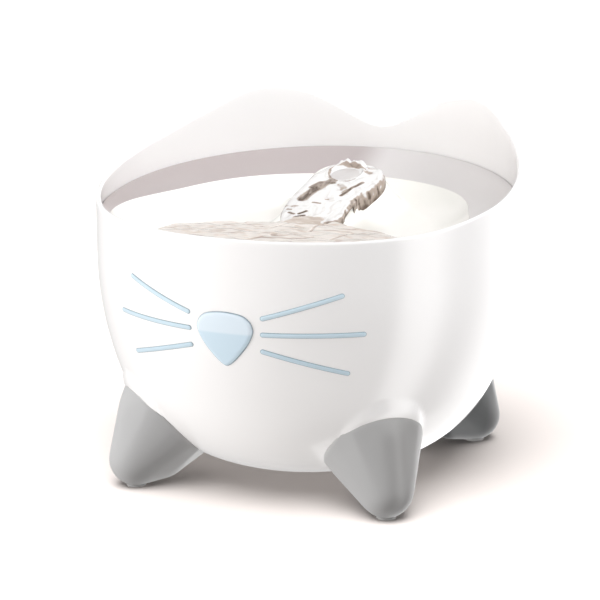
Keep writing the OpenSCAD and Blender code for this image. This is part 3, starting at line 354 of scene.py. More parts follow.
@dataclass(frozen=True)
class MouldedPlastic(TonedFinish):
    """Injection-moulded plastic: an even colour that drifts a little, over a fine mould texture."""

    roughness: float
    roughness_drift: float = 0.05
    coat: float = 0.0
    coat_roughness: float = 0.03
    ior: float = 1.5
    cloud_mm: float = 45.0
    texture_mm: float = 0.6
    texture_depth_mm: float = 0.004

    def shading(self, tree: NodeTree) -> dict[str, Any]:
        """Builds the nodes.

        Args:
            tree: The node tree.

        Returns:
            The shader's inputs.
        """
        where = place(tree)
        pattern = {"Vector": where, "Scale": per_metre(self.cloud_mm), "Detail": 3.0, "Roughness": 0.55}
        cloud = add_node(tree, "ShaderNodeTexNoise", sockets=pattern).outputs[0]
        span = {
            "Value": cloud,
            "From Min": NOISE_LOW,
            "From Max": NOISE_HIGH,
            "To Min": self.roughness - self.roughness_drift,
            "To Max": self.roughness + self.roughness_drift,
        }
        gloss = add_node(tree, "ShaderNodeMapRange", sockets=span).outputs[0]
        pattern = {"Vector": where, "Scale": per_metre(self.texture_mm), "Detail": 2.0}
        grain = add_node(tree, "ShaderNodeTexNoise", sockets=pattern).outputs[0]
        relief = {"Height": grain, "Strength": 1.0, "Distance": self.texture_depth_mm * MM}
        return {
            "Base Color": self.tone(tree, cloud),
            "Roughness": gloss,
            "IOR": self.ior,
            "Coat Weight": self.coat,
            "Coat Roughness": self.coat_roughness,
            "Normal": add_node(tree, "ShaderNodeBump", sockets=relief).outputs[0],
        }


@dataclass(frozen=True)
class PaintedLightAndShadePlastic(MouldedPlastic):
    """Moulded plastic with painted shade on the left that changes softly to painted light on the right."""

    painted_lit_colour: str = "#ffffff"
    # Where the change from painted shade to painted light starts and ends, along X in millimetres.
    change: tuple[float, float] = (-5.0, 5.0)

    def tone(self, tree: NodeTree, share: NodeSocket) -> NodeSocket:
        """Builds the colour: the drifting tone in painted shade on the left, painted light on the right.

        Args:
            tree: The node tree.
            share: How far the first tone has drifted to the second.

        Returns:
            The colour's socket.
        """
        left = super().tone(tree, share)
        # The share of painted light, rising from left to right.
        along = add_node(tree, "ShaderNodeSeparateXYZ", sockets={0: place(tree)}).outputs[0]
        start, end = (x * MM for x in self.change)
        span = {"Value": along, "From Min": start, "From Max": end}
        right = add_node(tree, "ShaderNodeMapRange", SOFTLY, span).outputs[0]
        tones = {0: right, 6: left, 7: linear(self.painted_lit_colour)}
        return add_node(tree, "ShaderNodeMix", COLOURS, tones).outputs[2]


@dataclass(frozen=True)
class PaintedShadePlastic(MouldedPlastic):
    """Moulded plastic with painted shade, deeper in tone towards the middle of the object."""

    painted_shade_colour: str = "#000000"
    # Distance from the upright axis where the painted shade starts and where it is full, in millimetres.
    painted_shade_radii: tuple[float, float] = (100.0, 80.0)

    def tone(self, tree: NodeTree, share: NodeSocket) -> NodeSocket:
        """Builds the colour: the drifting tone outside, the painted shade inside.

        Args:
            tree: The node tree.
            share: How far the first tone has drifted to the second.

        Returns:
            The colour's socket.
        """
        outside = super().tone(tree, share)
        flat = place(tree, (1, 1, 0))
        out = add_node(tree, "ShaderNodeVectorMath", {"operation": "LENGTH"}, {0: flat}).outputs["Value"]
        start, full = (r * MM for r in self.painted_shade_radii)
        span = {"Value": out, "From Min": full, "From Max": start, "To Min": 1.0, "To Max": 0.0}
        # How far the painted shade has set in.
        deep = add_node(tree, "ShaderNodeMapRange", SOFTLY, span).outputs[0]
        tones = {0: deep, 6: outside, 7: linear(self.painted_shade_colour)}
        return add_node(tree, "ShaderNodeMix", COLOURS, tones).outputs[2]


@dataclass(frozen=True)
class TintedAcrylic(Finish):
    """Pale see-through acrylic: light in the middle, darker below a line in painted reflection and darker
    round its edge in painted shade.
    """

    middle: str
    lower: str
    edge: str
    # Height of the line below which the painted reflection darkens the acrylic, and how softly it sets in.
    reflection_line_z: float
    reflection_line_soft: float
    roughness: float = 0.08
    # Size of the noise that makes the painted edge shade patchy.
    edge_shade_patch_mm: float = 5.0
    # Strength of the painted edge shade where the noise makes it faintest.
    faintest_edge_shade: float = 0.7

    def shading(self, tree: NodeTree) -> dict[str, Any]:
        """Builds the nodes.

        Args:
            tree: The node tree.

        Returns:
            The shader's inputs.
        """
        where = place(tree)
        height = add_node(tree, "ShaderNodeSeparateXYZ", sockets={0: where}).outputs[2]
        # Below the line the colour takes the lower tone, a painted reflection.
        low, high = (self.reflection_line_z - self.reflection_line_soft) * MM, (self.reflection_line_z + self.reflection_line_soft) * MM
        span = {"Value": height, "From Min": low, "From Max": high}
        step = add_node(tree, "ShaderNodeMapRange", SOFTLY, span).outputs[0]
        depths = {0: step, 6: linear(self.lower), 7: linear(self.middle)}
        depth = add_node(tree, "ShaderNodeMix", COLOURS, depths).outputs[2]
        # Round the edge the colour darkens as painted shade, made patchy by a noise.
        rim = add_node(tree, "ShaderNodeAttribute", {"attribute_name": EDGE}).outputs["Fac"]
        pattern = {"Vector": where, "Scale": per_metre(self.edge_shade_patch_mm), "Detail": 3.0}
        wear = add_node(tree, "ShaderNodeTexNoise", sockets=pattern).outputs[0]
        span = {"Value": wear, "From Min": 0.25, "From Max": 0.75, "To Min": self.faintest_edge_shade, "To Max": 1.0}
        uneven = add_node(tree, "ShaderNodeMapRange", sockets=span).outputs[0]
        share = add_node(tree, "ShaderNodeMath", {"operation": "MULTIPLY"}, {0: rim, 1: uneven}).outputs[0]
        tones = {0: share, 6: depth, 7: linear(self.edge)}
        return {
            "Base Color": add_node(tree, "ShaderNodeMix", COLOURS, tones).outputs[2],
            "Roughness": self.roughness,
            "IOR": ACRYLIC_IOR,
            "Coat Weight": 0.4,
            "Coat Roughness": 0.04,
        }


@dataclass(frozen=True)
class Water(Finish):
    """Moving water: bright and clear, with painted streaks, and brown-grey painted shade in folds where its
    surface bends the light away.
    """

    clear: str
    streak: str
    fold: str
    deep: str
    stretch: tuple[float, float, float]
    streak_mm: float
    # Values of the noise over which a streak begins to show and is full.
    streaks: tuple[float, float] = (0.52, 0.68)
    # How far the noise breaks up the edge of a fold.
    break_up: float = 0.22
    # Darkness over which the light folds and the deep ones begin to show and are full.
    light_folds: tuple[float, float] = (0.2, 0.55)
    deep_folds: tuple[float, float] = (0.6, 1.05)
    alpha_clear: float = 0.7
    alpha_fold: float = 0.97
    roughness: float = 0.08
    ripple_depth_mm: float = 0.5

    def shading(self, tree: NodeTree) -> dict[str, Any]:
        """Builds the nodes.

        Args:
            tree: The node tree.

        Returns:
            The shader's inputs.
        """
        pattern = {
            "Vector": place(tree, self.stretch),
            "Scale": per_metre(self.streak_mm),
            "Detail": 4.0,
            "Roughness": 0.55,
            "Distortion": 1.2,
        }
        streaks = add_node(tree, "ShaderNodeTexNoise", sockets=pattern).outputs[0]
        dark = add_node(tree, "ShaderNodeAttribute", {"attribute_name": EDGE}).outputs["Fac"]
        span = {
            "Value": streaks,
            "From Min": NOISE_LOW,
            "From Max": NOISE_HIGH,
            "To Min": -self.break_up,
            "To Max": self.break_up,
        }
        broken = add_node(tree, "ShaderNodeMapRange", sockets=span).outputs[0]
        uneven = add_node(tree, "ShaderNodeMath", {"operation": "ADD"}, {0: dark, 1: broken}).outputs[0]
        colour: Any = linear(self.clear)
        shares = []
        for value, (start, full), tint in (
            (streaks, self.streaks, self.streak),
            (uneven, self.light_folds, self.fold),
            (uneven, self.deep_folds, self.deep),
        ):
            span = {"Value": value, "From Min": start, "From Max": full}
            shares.append(add_node(tree, "ShaderNodeMapRange", SOFTLY, span).outputs[0])
            tones = {0: shares[-1], 6: colour, 7: linear(tint)}
            colour = add_node(tree, "ShaderNodeMix", COLOURS, tones).outputs[2]
        span = {"Value": shares[1], "To Min": self.alpha_clear, "To Max": self.alpha_fold}
        relief = {"Height": streaks, "Strength": 1.0, "Distance": self.ripple_depth_mm * MM}
        return {
            "Base Color": colour,
            "Roughness": self.roughness,
            "IOR": WATER_IOR,
            "Alpha": add_node(tree, "ShaderNodeMapRange", sockets=span).outputs[0],
            "Normal": add_node(tree, "ShaderNodeBump", sockets=relief).outputs[0],
        }


@dataclass(frozen=True)
class StillWater(TonedFinish):
    """The smooth cap of water over the spout, which shows the pale tube under it."""

    swirl_mm: float = 7.0
    swirl_depth_mm: float = 0.3
    roughness: float = 0.05

    def shading(self, tree: NodeTree) -> dict[str, Any]:
        """Builds the nodes.

        Args:
            tree: The node tree.

        Returns:
            The shader's inputs.
        """
        pattern = {
            "Vector": place(tree, (1.0, 0.5, 1.0)),
            "Scale": per_metre(self.swirl_mm),
            "Detail": 2.0,
            "Distortion": 0.8,
        }
        swirl = add_node(tree, "ShaderNodeTexNoise", sockets=pattern).outputs[0]
        relief = {"Height": swirl, "Strength": 1.0, "Distance": self.swirl_depth_mm * MM}
        return {
            "Base Color": self.tone(tree, swirl),
            "Roughness": self.roughness,
            "IOR": WATER_IOR,
            "Normal": add_node(tree, "ShaderNodeBump", sockets=relief).outputs[0],
        }


@dataclass(frozen=True)
class Rubber(TonedFinish):
    """Moulded rubber: dull, with a fine grain, and of the second tone where it has been rubbed."""

    grain_mm: float = 0.8
    grain_depth_mm: float = 0.05
    rub_mm: float = 9.0
    roughness: float = 0.72

    def shading(self, tree: NodeTree) -> dict[str, Any]:
        """Builds the nodes.

        Args:
            tree: The node tree.

        Returns:
            The shader's inputs.
        """
        where = place(tree)
        pattern = {"Vector": where, "Scale": per_metre(self.grain_mm), "Detail": 4.0}
        grain = add_node(tree, "ShaderNodeTexNoise", sockets=pattern).outputs[0]
        pattern = {"Vector": where, "Scale": per_metre(self.rub_mm), "Detail": 2.0}
        rub = add_node(tree, "ShaderNodeTexNoise", sockets=pattern).outputs[0]
        relief = {"Height": grain, "Strength": 1.0, "Distance": self.grain_depth_mm * MM}
        return {
            "Base Color": self.tone(tree, rub),
            "Roughness": self.roughness,
            "IOR": RUBBER_IOR,
            "Normal": add_node(tree, "ShaderNodeBump", sockets=relief).outputs[0],
        }


@dataclass(frozen=True)
class Metal(TonedFinish):
    """Turned or rolled metal: fine lines along one direction vary its gloss."""

    roughness: float
    stretch: tuple[float, float, float] = (1.0, 12.0, 1.0)
    line_mm: float = 0.9
    # The roughness along a line and between lines, as shares of the whole.
    spread: tuple[float, float] = (0.7, 1.4)

    def shading(self, tree: NodeTree) -> dict[str, Any]:
        """Builds the nodes.

        Args:
            tree: The node tree.

        Returns:
            The shader's inputs.
        """
        pattern = {"Vector": place(tree, self.stretch), "Scale": per_metre(self.line_mm), "Detail": 3.0}
        lines = add_node(tree, "ShaderNodeTexNoise", sockets=pattern).outputs[0]
        smoothest, roughest = (self.roughness * share for share in self.spread)
        span = {"Value": lines, "To Min": smoothest, "To Max": roughest}
        return {
            "Base Color": self.tone(tree, lines),
            "Metallic": 1.0,
            "Roughness": add_node(tree, "ShaderNodeMapRange", sockets=span).outputs[0],
        }


@dataclass(frozen=True)
class Fibre(TonedFinish):
    """Felt, foam or a bed of grains: many small bodies, with painted shade of the second tone in the gaps
    between them; in pressed ferrite the gaps are its grain.
    """

    grain_mm: float
    depth_mm: float
    roughness: float = 0.95
    # Share of a grain's size at which the gap around it begins and is full.
    gap: tuple[float, float] = (0.1, 0.45)

    def shading(self, tree: NodeTree) -> dict[str, Any]:
        """Builds the nodes.

        Args:
            tree: The node tree.

        Returns:
            The shader's inputs.
        """
        where = place(tree)
        pattern = {"Vector": where, "Scale": per_metre(self.grain_mm)}
        cells = add_node(tree, "ShaderNodeTexVoronoi", sockets=pattern).outputs["Distance"]
        pattern = {"Vector": where, "Scale": per_metre(self.grain_mm / 2), "Detail": 5.0}
        fuzz = add_node(tree, "ShaderNodeTexNoise", sockets=pattern).outputs[0]
        both = add_node(tree, "ShaderNodeMath", {"operation": "MULTIPLY"}, {0: cells, 1: fuzz}).outputs[0]
        start, full = self.gap
        span = {"Value": both, "From Min": start, "From Max": full}
        share = add_node(tree, "ShaderNodeMapRange", sockets=span).outputs[0]
        relief = {"Height": both, "Strength": 1.0, "Distance": self.depth_mm * MM}
        return {
            "Base Color": self.tone(tree, share),
            "Roughness": self.roughness,
            "Normal": add_node(tree, "ShaderNodeBump", {"invert": True}, relief).outputs[0],
        }


@dataclass(frozen=True)
class Banded(TonedFinish):
    """Something laid in rows: winding turns or stacked sheets, with gaps of the first tone between."""

    band_mm: float
    direction: str
    metallic: float
    roughness: float

    def shading(self, tree: NodeTree) -> dict[str, Any]:
        """Builds the nodes.

        Args:
            tree: The node tree.

        Returns:
            The shader's inputs.
        """
        # A wave's own period is one twentieth of its scale's unit times two pi, so scale follows from that.
        scale = per_metre(self.band_mm) * 2 * math.pi / 20
        bands = {"Vector": place(tree), "Scale": scale, "Distortion": 0.4, "Detail": 1.0}
        along = {"bands_direction": self.direction}
        rows = add_node(tree, "ShaderNodeTexWave", along, bands).outputs[1]
        relief = {"Height": rows, "Strength": 1.0, "Distance": self.band_mm * MM / 3}
        return {
            "Base Color": self.tone(tree, rows),
            "Metallic": self.metallic,
            "Roughness": self.roughness,
            "Normal": add_node(tree, "ShaderNodeBump", sockets=relief).outputs[0],
        }


@dataclass(frozen=True)
class ClearPlastic(TonedFinish):
    """Clear moulded tube: see-through, and of the second tone where its wall clouds."""

    # How much is hidden where the wall is clearest and where it clouds most.
    cover: tuple[float, float]
    haze_mm: float = 14.0
    roughness: float = 0.08

    def shading(self, tree: NodeTree) -> dict[str, Any]:
        """Builds the nodes.

        Args:
            tree: The node tree.

        Returns:
            The shader's inputs.
        """
        pattern = {"Vector": place(tree), "Scale": per_metre(self.haze_mm), "Detail": 3.0}
        haze = add_node(tree, "ShaderNodeTexNoise", sockets=pattern).outputs[0]
        clearest, cloudiest = self.cover
        span = {"Value": haze, "To Min": clearest, "To Max": cloudiest}
        return {
            "Base Color": self.tone(tree, haze),
            "Roughness": self.roughness,
            "IOR": ACRYLIC_IOR,
            "Alpha": add_node(tree, "ShaderNodeMapRange", sockets=span).outputs[0],
        }


@dataclass(frozen=True)
class StudioPaper(TonedFinish):
    """Seamless paper: matt and pale, with a faint mottle."""

    mottle_mm: float = 60.0
    roughness: float = 0.9

    def shading(self, tree: NodeTree) -> dict[str, Any]:
        """Builds the nodes.

        Args:
            tree: The node tree.

        Returns:
            The shader's inputs.
        """
        pattern = {"Vector": place(tree), "Scale": per_metre(self.mottle_mm), "Detail": 2.0}
        mottle = add_node(tree, "ShaderNodeTexNoise", sockets=pattern).outputs[0]
        return {"Base Color": self.tone(tree, mottle), "Roughness": self.roughness}


# Glossy ABS of the bowl: a warm white that holds soft-edged reflections.
GLOSS_WHITE_ABS = MouldedPlastic(
    "gloss_white_abs",
    "#f6f3f1",
    "#f3f0ee",
    roughness=0.2,
    roughness_drift=0.03,
    coat=0.35,
    coat_roughness=0.06,
)
# Satin ABS of the feet: mid grey with a spark-eroded mould surface that spreads the light.
SATIN_GREY_ABS = MouldedPlastic(
    "satin_grey_abs", "#cccbca", "#c6c5c4", roughness=0.42, texture_mm=0.7, texture_depth_mm=0.012
)
# The same ABS on the rear feet, with painted shade: deeper in tone on the side that stands in the bowl's
# shade.
REAR_FOOT_PAINTED_SHADE_ABS = PaintedShadePlastic(
    "satin_grey_abs_rear",
    SATIN_GREY_ABS.colour,
    SATIN_GREY_ABS.shade,
    roughness=SATIN_GREY_ABS.roughness,
    texture_mm=SATIN_GREY_ABS.texture_mm,
    texture_depth_mm=SATIN_GREY_ABS.texture_depth_mm,
    painted_shade_colour="#2c2e2f",
    painted_shade_radii=(119.0, 97.0),
)
# Fine-textured ABS of the collar: a warm light grey with no sharp reflection, darker in painted shade
# on the left and paler in painted light to the right of the spout.
COLLAR_ABS = PaintedLightAndShadePlastic(
    "fine_textured_collar_abs",
    "#aaa09e",
    "#a69c9a",
    roughness=0.48,
    texture_mm=0.6,
    texture_depth_mm=0.01,
    painted_lit_colour="#cfcac8",
    change=(-14.0, 8.0),
)
# Glossy ABS of the basin: creamier than the bowl, so that the water looks warm.
CREAM_ABS = MouldedPlastic(
    "gloss_cream_abs", "#f1eee8", "#eeebe4", roughness=0.22, roughness_drift=0.03, coat=0.2
)
# Soft silicone of the spout ring: pale grey, dull.
PALE_SILICONE = MouldedPlastic("pale_silicone", "#dad6d3", "#d0ccc9", roughness=0.5, texture_mm=0.5)
# Acrylic lens of the nose: pale ice blue, deeper below a line in painted reflection, with painted shade round
# its edge.
NOSE_ACRYLIC = TintedAcrylic(
    "ice_blue_nose_acrylic", "#dde8f0", "#cbdde8", "#476372", reflection_line_z=98.4, reflection_line_soft=0.8
)
# The same acrylic in the whiskers, greyer because it is thin, darker downwards in painted reflection and at
# its edges in painted shade.
WHISKER_ACRYLIC = TintedAcrylic(
    "ice_blue_whisker_acrylic", "#ccdde6", "#c4d6e0", "#6a808c", reflection_line_z=98.0, reflection_line_soft=12.0
)
# Water running down the hill: long bright streaks of painted reflection along the flow, with brown-grey
# painted shade in the folds between them.
RUNNING_WATER = Water(
    "running_water", "#fbf8f6", "#e9e3e0", "#a99a8e", "#5f4f43", stretch=(1.0, 0.4, 1.0), streak_mm=5.0
)
# Water rippling in the basin: short streaks across it, creamier because it is shallow.
RIPPLED_WATER = Water(
    "rippled_water", "#fff7ef", "#faebe0", "#c6b7ab", "#83746a", stretch=(0.4, 1.0, 1.0), streak_mm=4.5
)
# The calm cap over the spout: light grey, mirror smooth.
SPOUT_WATER = StillWater("calm_spout_water", "#d2cdca", "#bfb9b6")
# Thermoplastic rubber of the pads, moulded in the grey of the feet.
PAD_RUBBER = Rubber("pad_rubber", "#929190", "#9a9998")
# Softer rubber of the suction cups and the inlet's gasket.
GREY_RUBBER = Rubber("grey_rubber", "#58585a", "#6a6a6c")
# Black rubber of gaskets, boots and lead sheaths.
BLACK_RUBBER = Rubber("black_rubber", "#232325", "#333335")
# Zinc-plated screws and nuts: bright, with turning lines.
PLATED_STEEL = Metal("zinc_plated_steel", "#c9cbce", "#a9acb0", roughness=0.28)
# Mineral-filled polypropylene of the pump: dark grey and matt.
DARK_PUMP_PLASTIC = MouldedPlastic(
    "dark_pump_polypropylene", "#3b3f43", "#33373b", roughness=0.5, texture_mm=0.9, texture_depth_mm=0.02
)
# Black glass-filled nylon of the power inlet.
BLACK_NYLON = MouldedPlastic("black_nylon", "#202123", "#2a2b2d", roughness=0.45, texture_depth_mm=0.015)
# Natural polypropylene of tray, cartridge and impeller: a dull, slightly milky white.
MILKY_POLYPROPYLENE = MouldedPlastic(
    "milky_polypropylene", "#e9e8e3", "#e0dfd9", roughness=0.4, texture_mm=0.8, texture_depth_mm=0.01
)
# Pressed ferrite: near black with a faint sparkle.
PRESSED_FERRITE = Fibre(
    "pressed_ferrite", "#47443f", "#2f2d2a", grain_mm=0.4, depth_mm=0.02, roughness=0.55
)
# Ground alumina of the shaft and the light-emitting chip's body.
GROUND_CERAMIC = MouldedPlastic("ground_ceramic", "#efe9dd", "#e6dfd2", roughness=0.3, texture_mm=0.3)
# Enamelled copper wire in turns of 0.5 mm, drawn at 0.9 mm so that they show, with painted shade in the gaps
# between turns.
COPPER_WINDING = Banded(
    "enamelled_copper_winding", "#5a3216", "#b9713a", 0.9, "X", metallic=0.9, roughness=0.35
)
# Electrical steel in sheets of 0.5 mm, drawn at 0.8 mm so that they show.
STEEL_SHEETS = Banded(
    "stacked_steel_sheets", "#3d3b38", "#77746f", 0.8, "Z", metallic=0.9, roughness=0.45
)
# Green solder mask over copper tracks 1.2 mm apart.
SOLDER_MASK = Banded("green_solder_mask", "#245a39", "#2c6a44", 1.2, "X", metallic=0.0, roughness=0.3)
# Needled polyester felt: white, with fibres, and pinholes in painted shade.
NEEDLED_FELT = Fibre("needled_felt", "#f1efe8", "#cfccc2", grain_mm=1.6, depth_mm=0.5)
# Granular activated carbon of 1.5 mm grains, with painted shade between them.
CARBON_GRAINS = Fibre(
    "activated_carbon_grains", "#34322f", "#121110", grain_mm=1.5, depth_mm=0.8, roughness=0.8
)
# Open-cell foam of about 20 pores to the inch, the pores in painted shade.
OPEN_FOAM = Fibre("open_cell_foam", "#2b2b2d", "#0e0e0f", grain_mm=1.3, depth_mm=0.9)
# Clear acrylic riser tube.
CLEAR_ACRYLIC = ClearPlastic("clear_riser_acrylic", "#dde6ea", "#c6d2d8", cover=(0.4, 0.7))
# White seamless paper of the floor.
FLOOR_PAPER = StudioPaper("studio_paper", "#c2bcb9", "#bfb9b6")


# ---- meshes ----


def revolve(outline: Loop2, steps: int, closed: bool = False) -> BMesh:
    """Spins an outline about the Z axis.

    Args:
        outline: Points of (distance from the axis, height).
        steps: Steps in a full turn.
        closed: Whether the outline's last point joins its first.

    Returns:
        The skin, with its poles merged and its faces outward.
    """
    bm = bmesh.new()
    points = [bm.verts.new((r, 0.0, z)) for r, z in outline]
    pairs = list(zip(points, points[1:])) + ([(points[-1], points[0])] if closed else [])
    edges = [bm.edges.new(pair) for pair in pairs]
    bmesh.ops.spin(
        bm,
        geom=[*points, *edges],
        cent=(0, 0, 0),
        axis=(0, 0, 1),
        angle=2 * math.pi,
        steps=steps,
        use_merge=True,
    )
    bmesh.ops.remove_doubles(bm, verts=bm.verts, dist=POLE_MERGE)
    face_out(bm)
    return bm


def disc(rings: int, steps: int) -> BMesh:
    """Makes a flat disc of radius 1 around the origin, from rings of faces about its middle."""
    return revolve([(k / rings, 0.0) for k in range(rings + 1)], steps)


def verts_in(geom: Sequence[Any]) -> list[BMVert]:
    """Picks the vertices out of what an operator gives back."""
    return [item for item in geom if isinstance(item, BMVert)]


def open_edges(bm: BMesh) -> list[BMEdge]:
    """Gives the edges that only one face uses."""
    return [edge for edge in bm.edges if edge.is_boundary]


def face_out(bm: BMesh) -> None:
    """Turns a closed mesh's faces outwards."""
    bmesh.ops.recalc_face_normals(bm, faces=bm.faces)


def turned(axis: str, degrees: float, at: Sequence[float] = (0, 0, 0)) -> Matrix:
    """Gives the matrix that turns about an axis, then moves to at."""
    return Matrix.Translation(at) @ Matrix.Rotation(math.radians(degrees), 4, axis)


def close_back(bm: BMesh, shape: Callable[[Vector], Vector]) -> list[BMFace]:
    """Extrudes a sheet's rim, moves the new points and closes the hole that is left.

    Args:
        bm: The mesh, changed in place.
        shape: Gives a point of the rim its new place.

    Returns:
        The faces that close the hole.
    """
    for vert in verts_in(bmesh.ops.extrude_edge_only(bm, edges=open_edges(bm))["geom"]):
        vert.co = shape(vert.co)
    return bmesh.ops.holes_fill(bm, edges=open_edges(bm))["faces"]


def fanned(co: Vector, centre: Vector, reach: Sequence[float]) -> tuple[Vector, float]:
    """Lays a point of the unit disc out inside a loop, crowded towards the loop.

    Args:
        co: The point of the disc.
        centre: The loop's centre.
        reach: The loop's distance from its centre in each direction.

    Returns:
        The point's new place, and its distance from the loop.
    """
    k = direction(len(reach), co.x, co.y)
    spread = math.sin(min(math.hypot(co.x, co.y), 1.0) * math.pi / 2)
    return centre + unit(len(reach), k) * reach[k] * spread, (1 - spread) * reach[k]


def move(bm: BMesh, shape: Callable[[Vector], Vector]) -> None:
    """Moves each vertex of a mesh to where shape puts it."""
    for vert in bm.verts:
        vert.co = shape(vert.co.copy())


def join(bm: BMesh, other: BMesh) -> None:
    """Adds a copy of other's mesh to bm, and frees other.

    Args:
        bm: The mesh that grows.
        other: The mesh that is added.
    """
    carrier = bpy.data.meshes.new("carrier")
    other.to_mesh(carrier)
    other.free()
    bm.from_mesh(carrier)
    bpy.data.meshes.remove(carrier)


def tube(inner: float, outer: float, low: float, high: float, steps: int) -> BMesh:
    """Makes a straight tube about the Z axis between two heights."""
    return revolve([(inner, low), (outer, low), (outer, high), (inner, high)], steps, closed=True)


def prism(outline: Loop2, height: float, place_at: Matrix) -> BMesh:
    """Makes a straight-sided block from a flat outline.

    Args:
        outline: The outline's corners in its own plane.
        height: How far it is extruded along its own Z.
        place_at: Where the block goes.

    Returns:
        The block, faces outward.
    """
    bm = bmesh.new()
    base = bm.faces.new([bm.verts.new((x, y, 0.0)) for x, y in outline])
    top = bmesh.ops.extrude_face_region(bm, geom=[base])["geom"]
    bmesh.ops.translate(bm, vec=(0, 0, height), verts=verts_in(top))
    face_out(bm)
    bmesh.ops.transform(bm, matrix=place_at, verts=bm.verts)
    return bm


def round_off(bm: BMesh, edges: Sequence[BMEdge], width: float, segments: int) -> None:
    """Rounds edges off over a width, in a number of segments."""
    bmesh.ops.bevel(bm, geom=edges, offset=width, affect="EDGES", segments=segments, profile=0.5, material=-1)


def rod(radius: float, length: float, place_at: Matrix, steps: int) -> BMesh:
    """Makes a closed round rod along its own Z from the origin, then puts it in place.

    Args:
        radius: Its radius.
        length: Its length.
        place_at: Where it goes.
        steps: Steps around it.

    Returns:
        The rod.
    """
    bm = bmesh.new()
    bmesh.ops.create_cone(
        bm,
        cap_ends=True,
        segments=steps,
        radius1=radius,
        radius2=radius,
        depth=length,
        matrix=place_at @ Matrix.Translation((0, 0, length / 2)),
    )
    return bm


def add_piece(
    name: str,
    bm: BMesh,
    finish: Finish,
    body: Body,
    replaces: Sequence[str] = (),
    crease: float = 40.0,
    edge_of: Callable[[Vector], float] | None = None,
) -> None:
    """Turns a mesh in millimetres into a finished piece that rides on a body.

    Args:
        name: The piece's name.
        bm: Its mesh in millimetres, which is freed.
        finish: What it wears.
        body: The body it rides on.
        replaces: CAD nodes it stands for.
        crease: Angle in degrees from which an edge looks sharp.
        edge_of: Gives a vertex's nearness to the edge, from 0 to 1, kept for the finish.
    """
    mesh = bpy.data.meshes.new(name)
    if edge_of:
        layer = bm.verts.layers.float.new(EDGE)
        for vert in bm.verts:
            vert[layer] = edge_of(vert.co)
    bmesh.ops.scale(bm, vec=(MM, MM, MM), verts=bm.verts)
    bm.to_mesh(mesh)
    bm.free()
    mesh.shade_smooth()
    mesh.set_sharp_from_angle(angle=math.radians(crease))
    mesh.materials.append(finish.material())
    piece = bpy.data.objects.new(name, mesh)
    bpy.context.scene.collection.objects.link(piece)
    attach(piece, body.value)
    if replaces:
        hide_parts(*replaces)
    stands_for = ", ".join(replaces) or "nothing"
    log.info("%s: %d faces, rides on %s, stands for %s", name, len(mesh.polygons), body.value, stands_for)


def cut_away(bm: BMesh, cutter: BMesh) -> BMesh:
    """Takes a closed cutter out of a closed mesh.

    Args:
        bm: The mesh, which is freed.
        cutter: The cutter, which is freed.

    Returns:
        What is left.
    """
    objects = []
    for label, source in (("work", bm), ("cutter", cutter)):
        mesh = bpy.data.meshes.new(label)
        source.to_mesh(mesh)
        source.free()
        objects.append(bpy.data.objects.new(label, mesh))
        bpy.context.scene.collection.objects.link(objects[-1])
    work, tool = objects
    boolean = work.modifiers.new("cut", "BOOLEAN")
    boolean.operation = "DIFFERENCE"
    boolean.solver = "EXACT"
    boolean.object = tool
    ready = bpy.context.evaluated_depsgraph_get()
    left = bmesh.new()
    left.from_object(work, ready)
    for item in objects:
        mesh = item.data
        bpy.data.objects.remove(item)
        bpy.data.meshes.remove(mesh)
    return left


# ---- the bowl's curves ----


def arc_point(across: float, up: float, radius: float, turn: float) -> Point2:
    """Gives the point at an angle, in radians, of a circle round (across, up)."""
    return across + radius * math.cos(turn), up + radius * math.sin(turn)


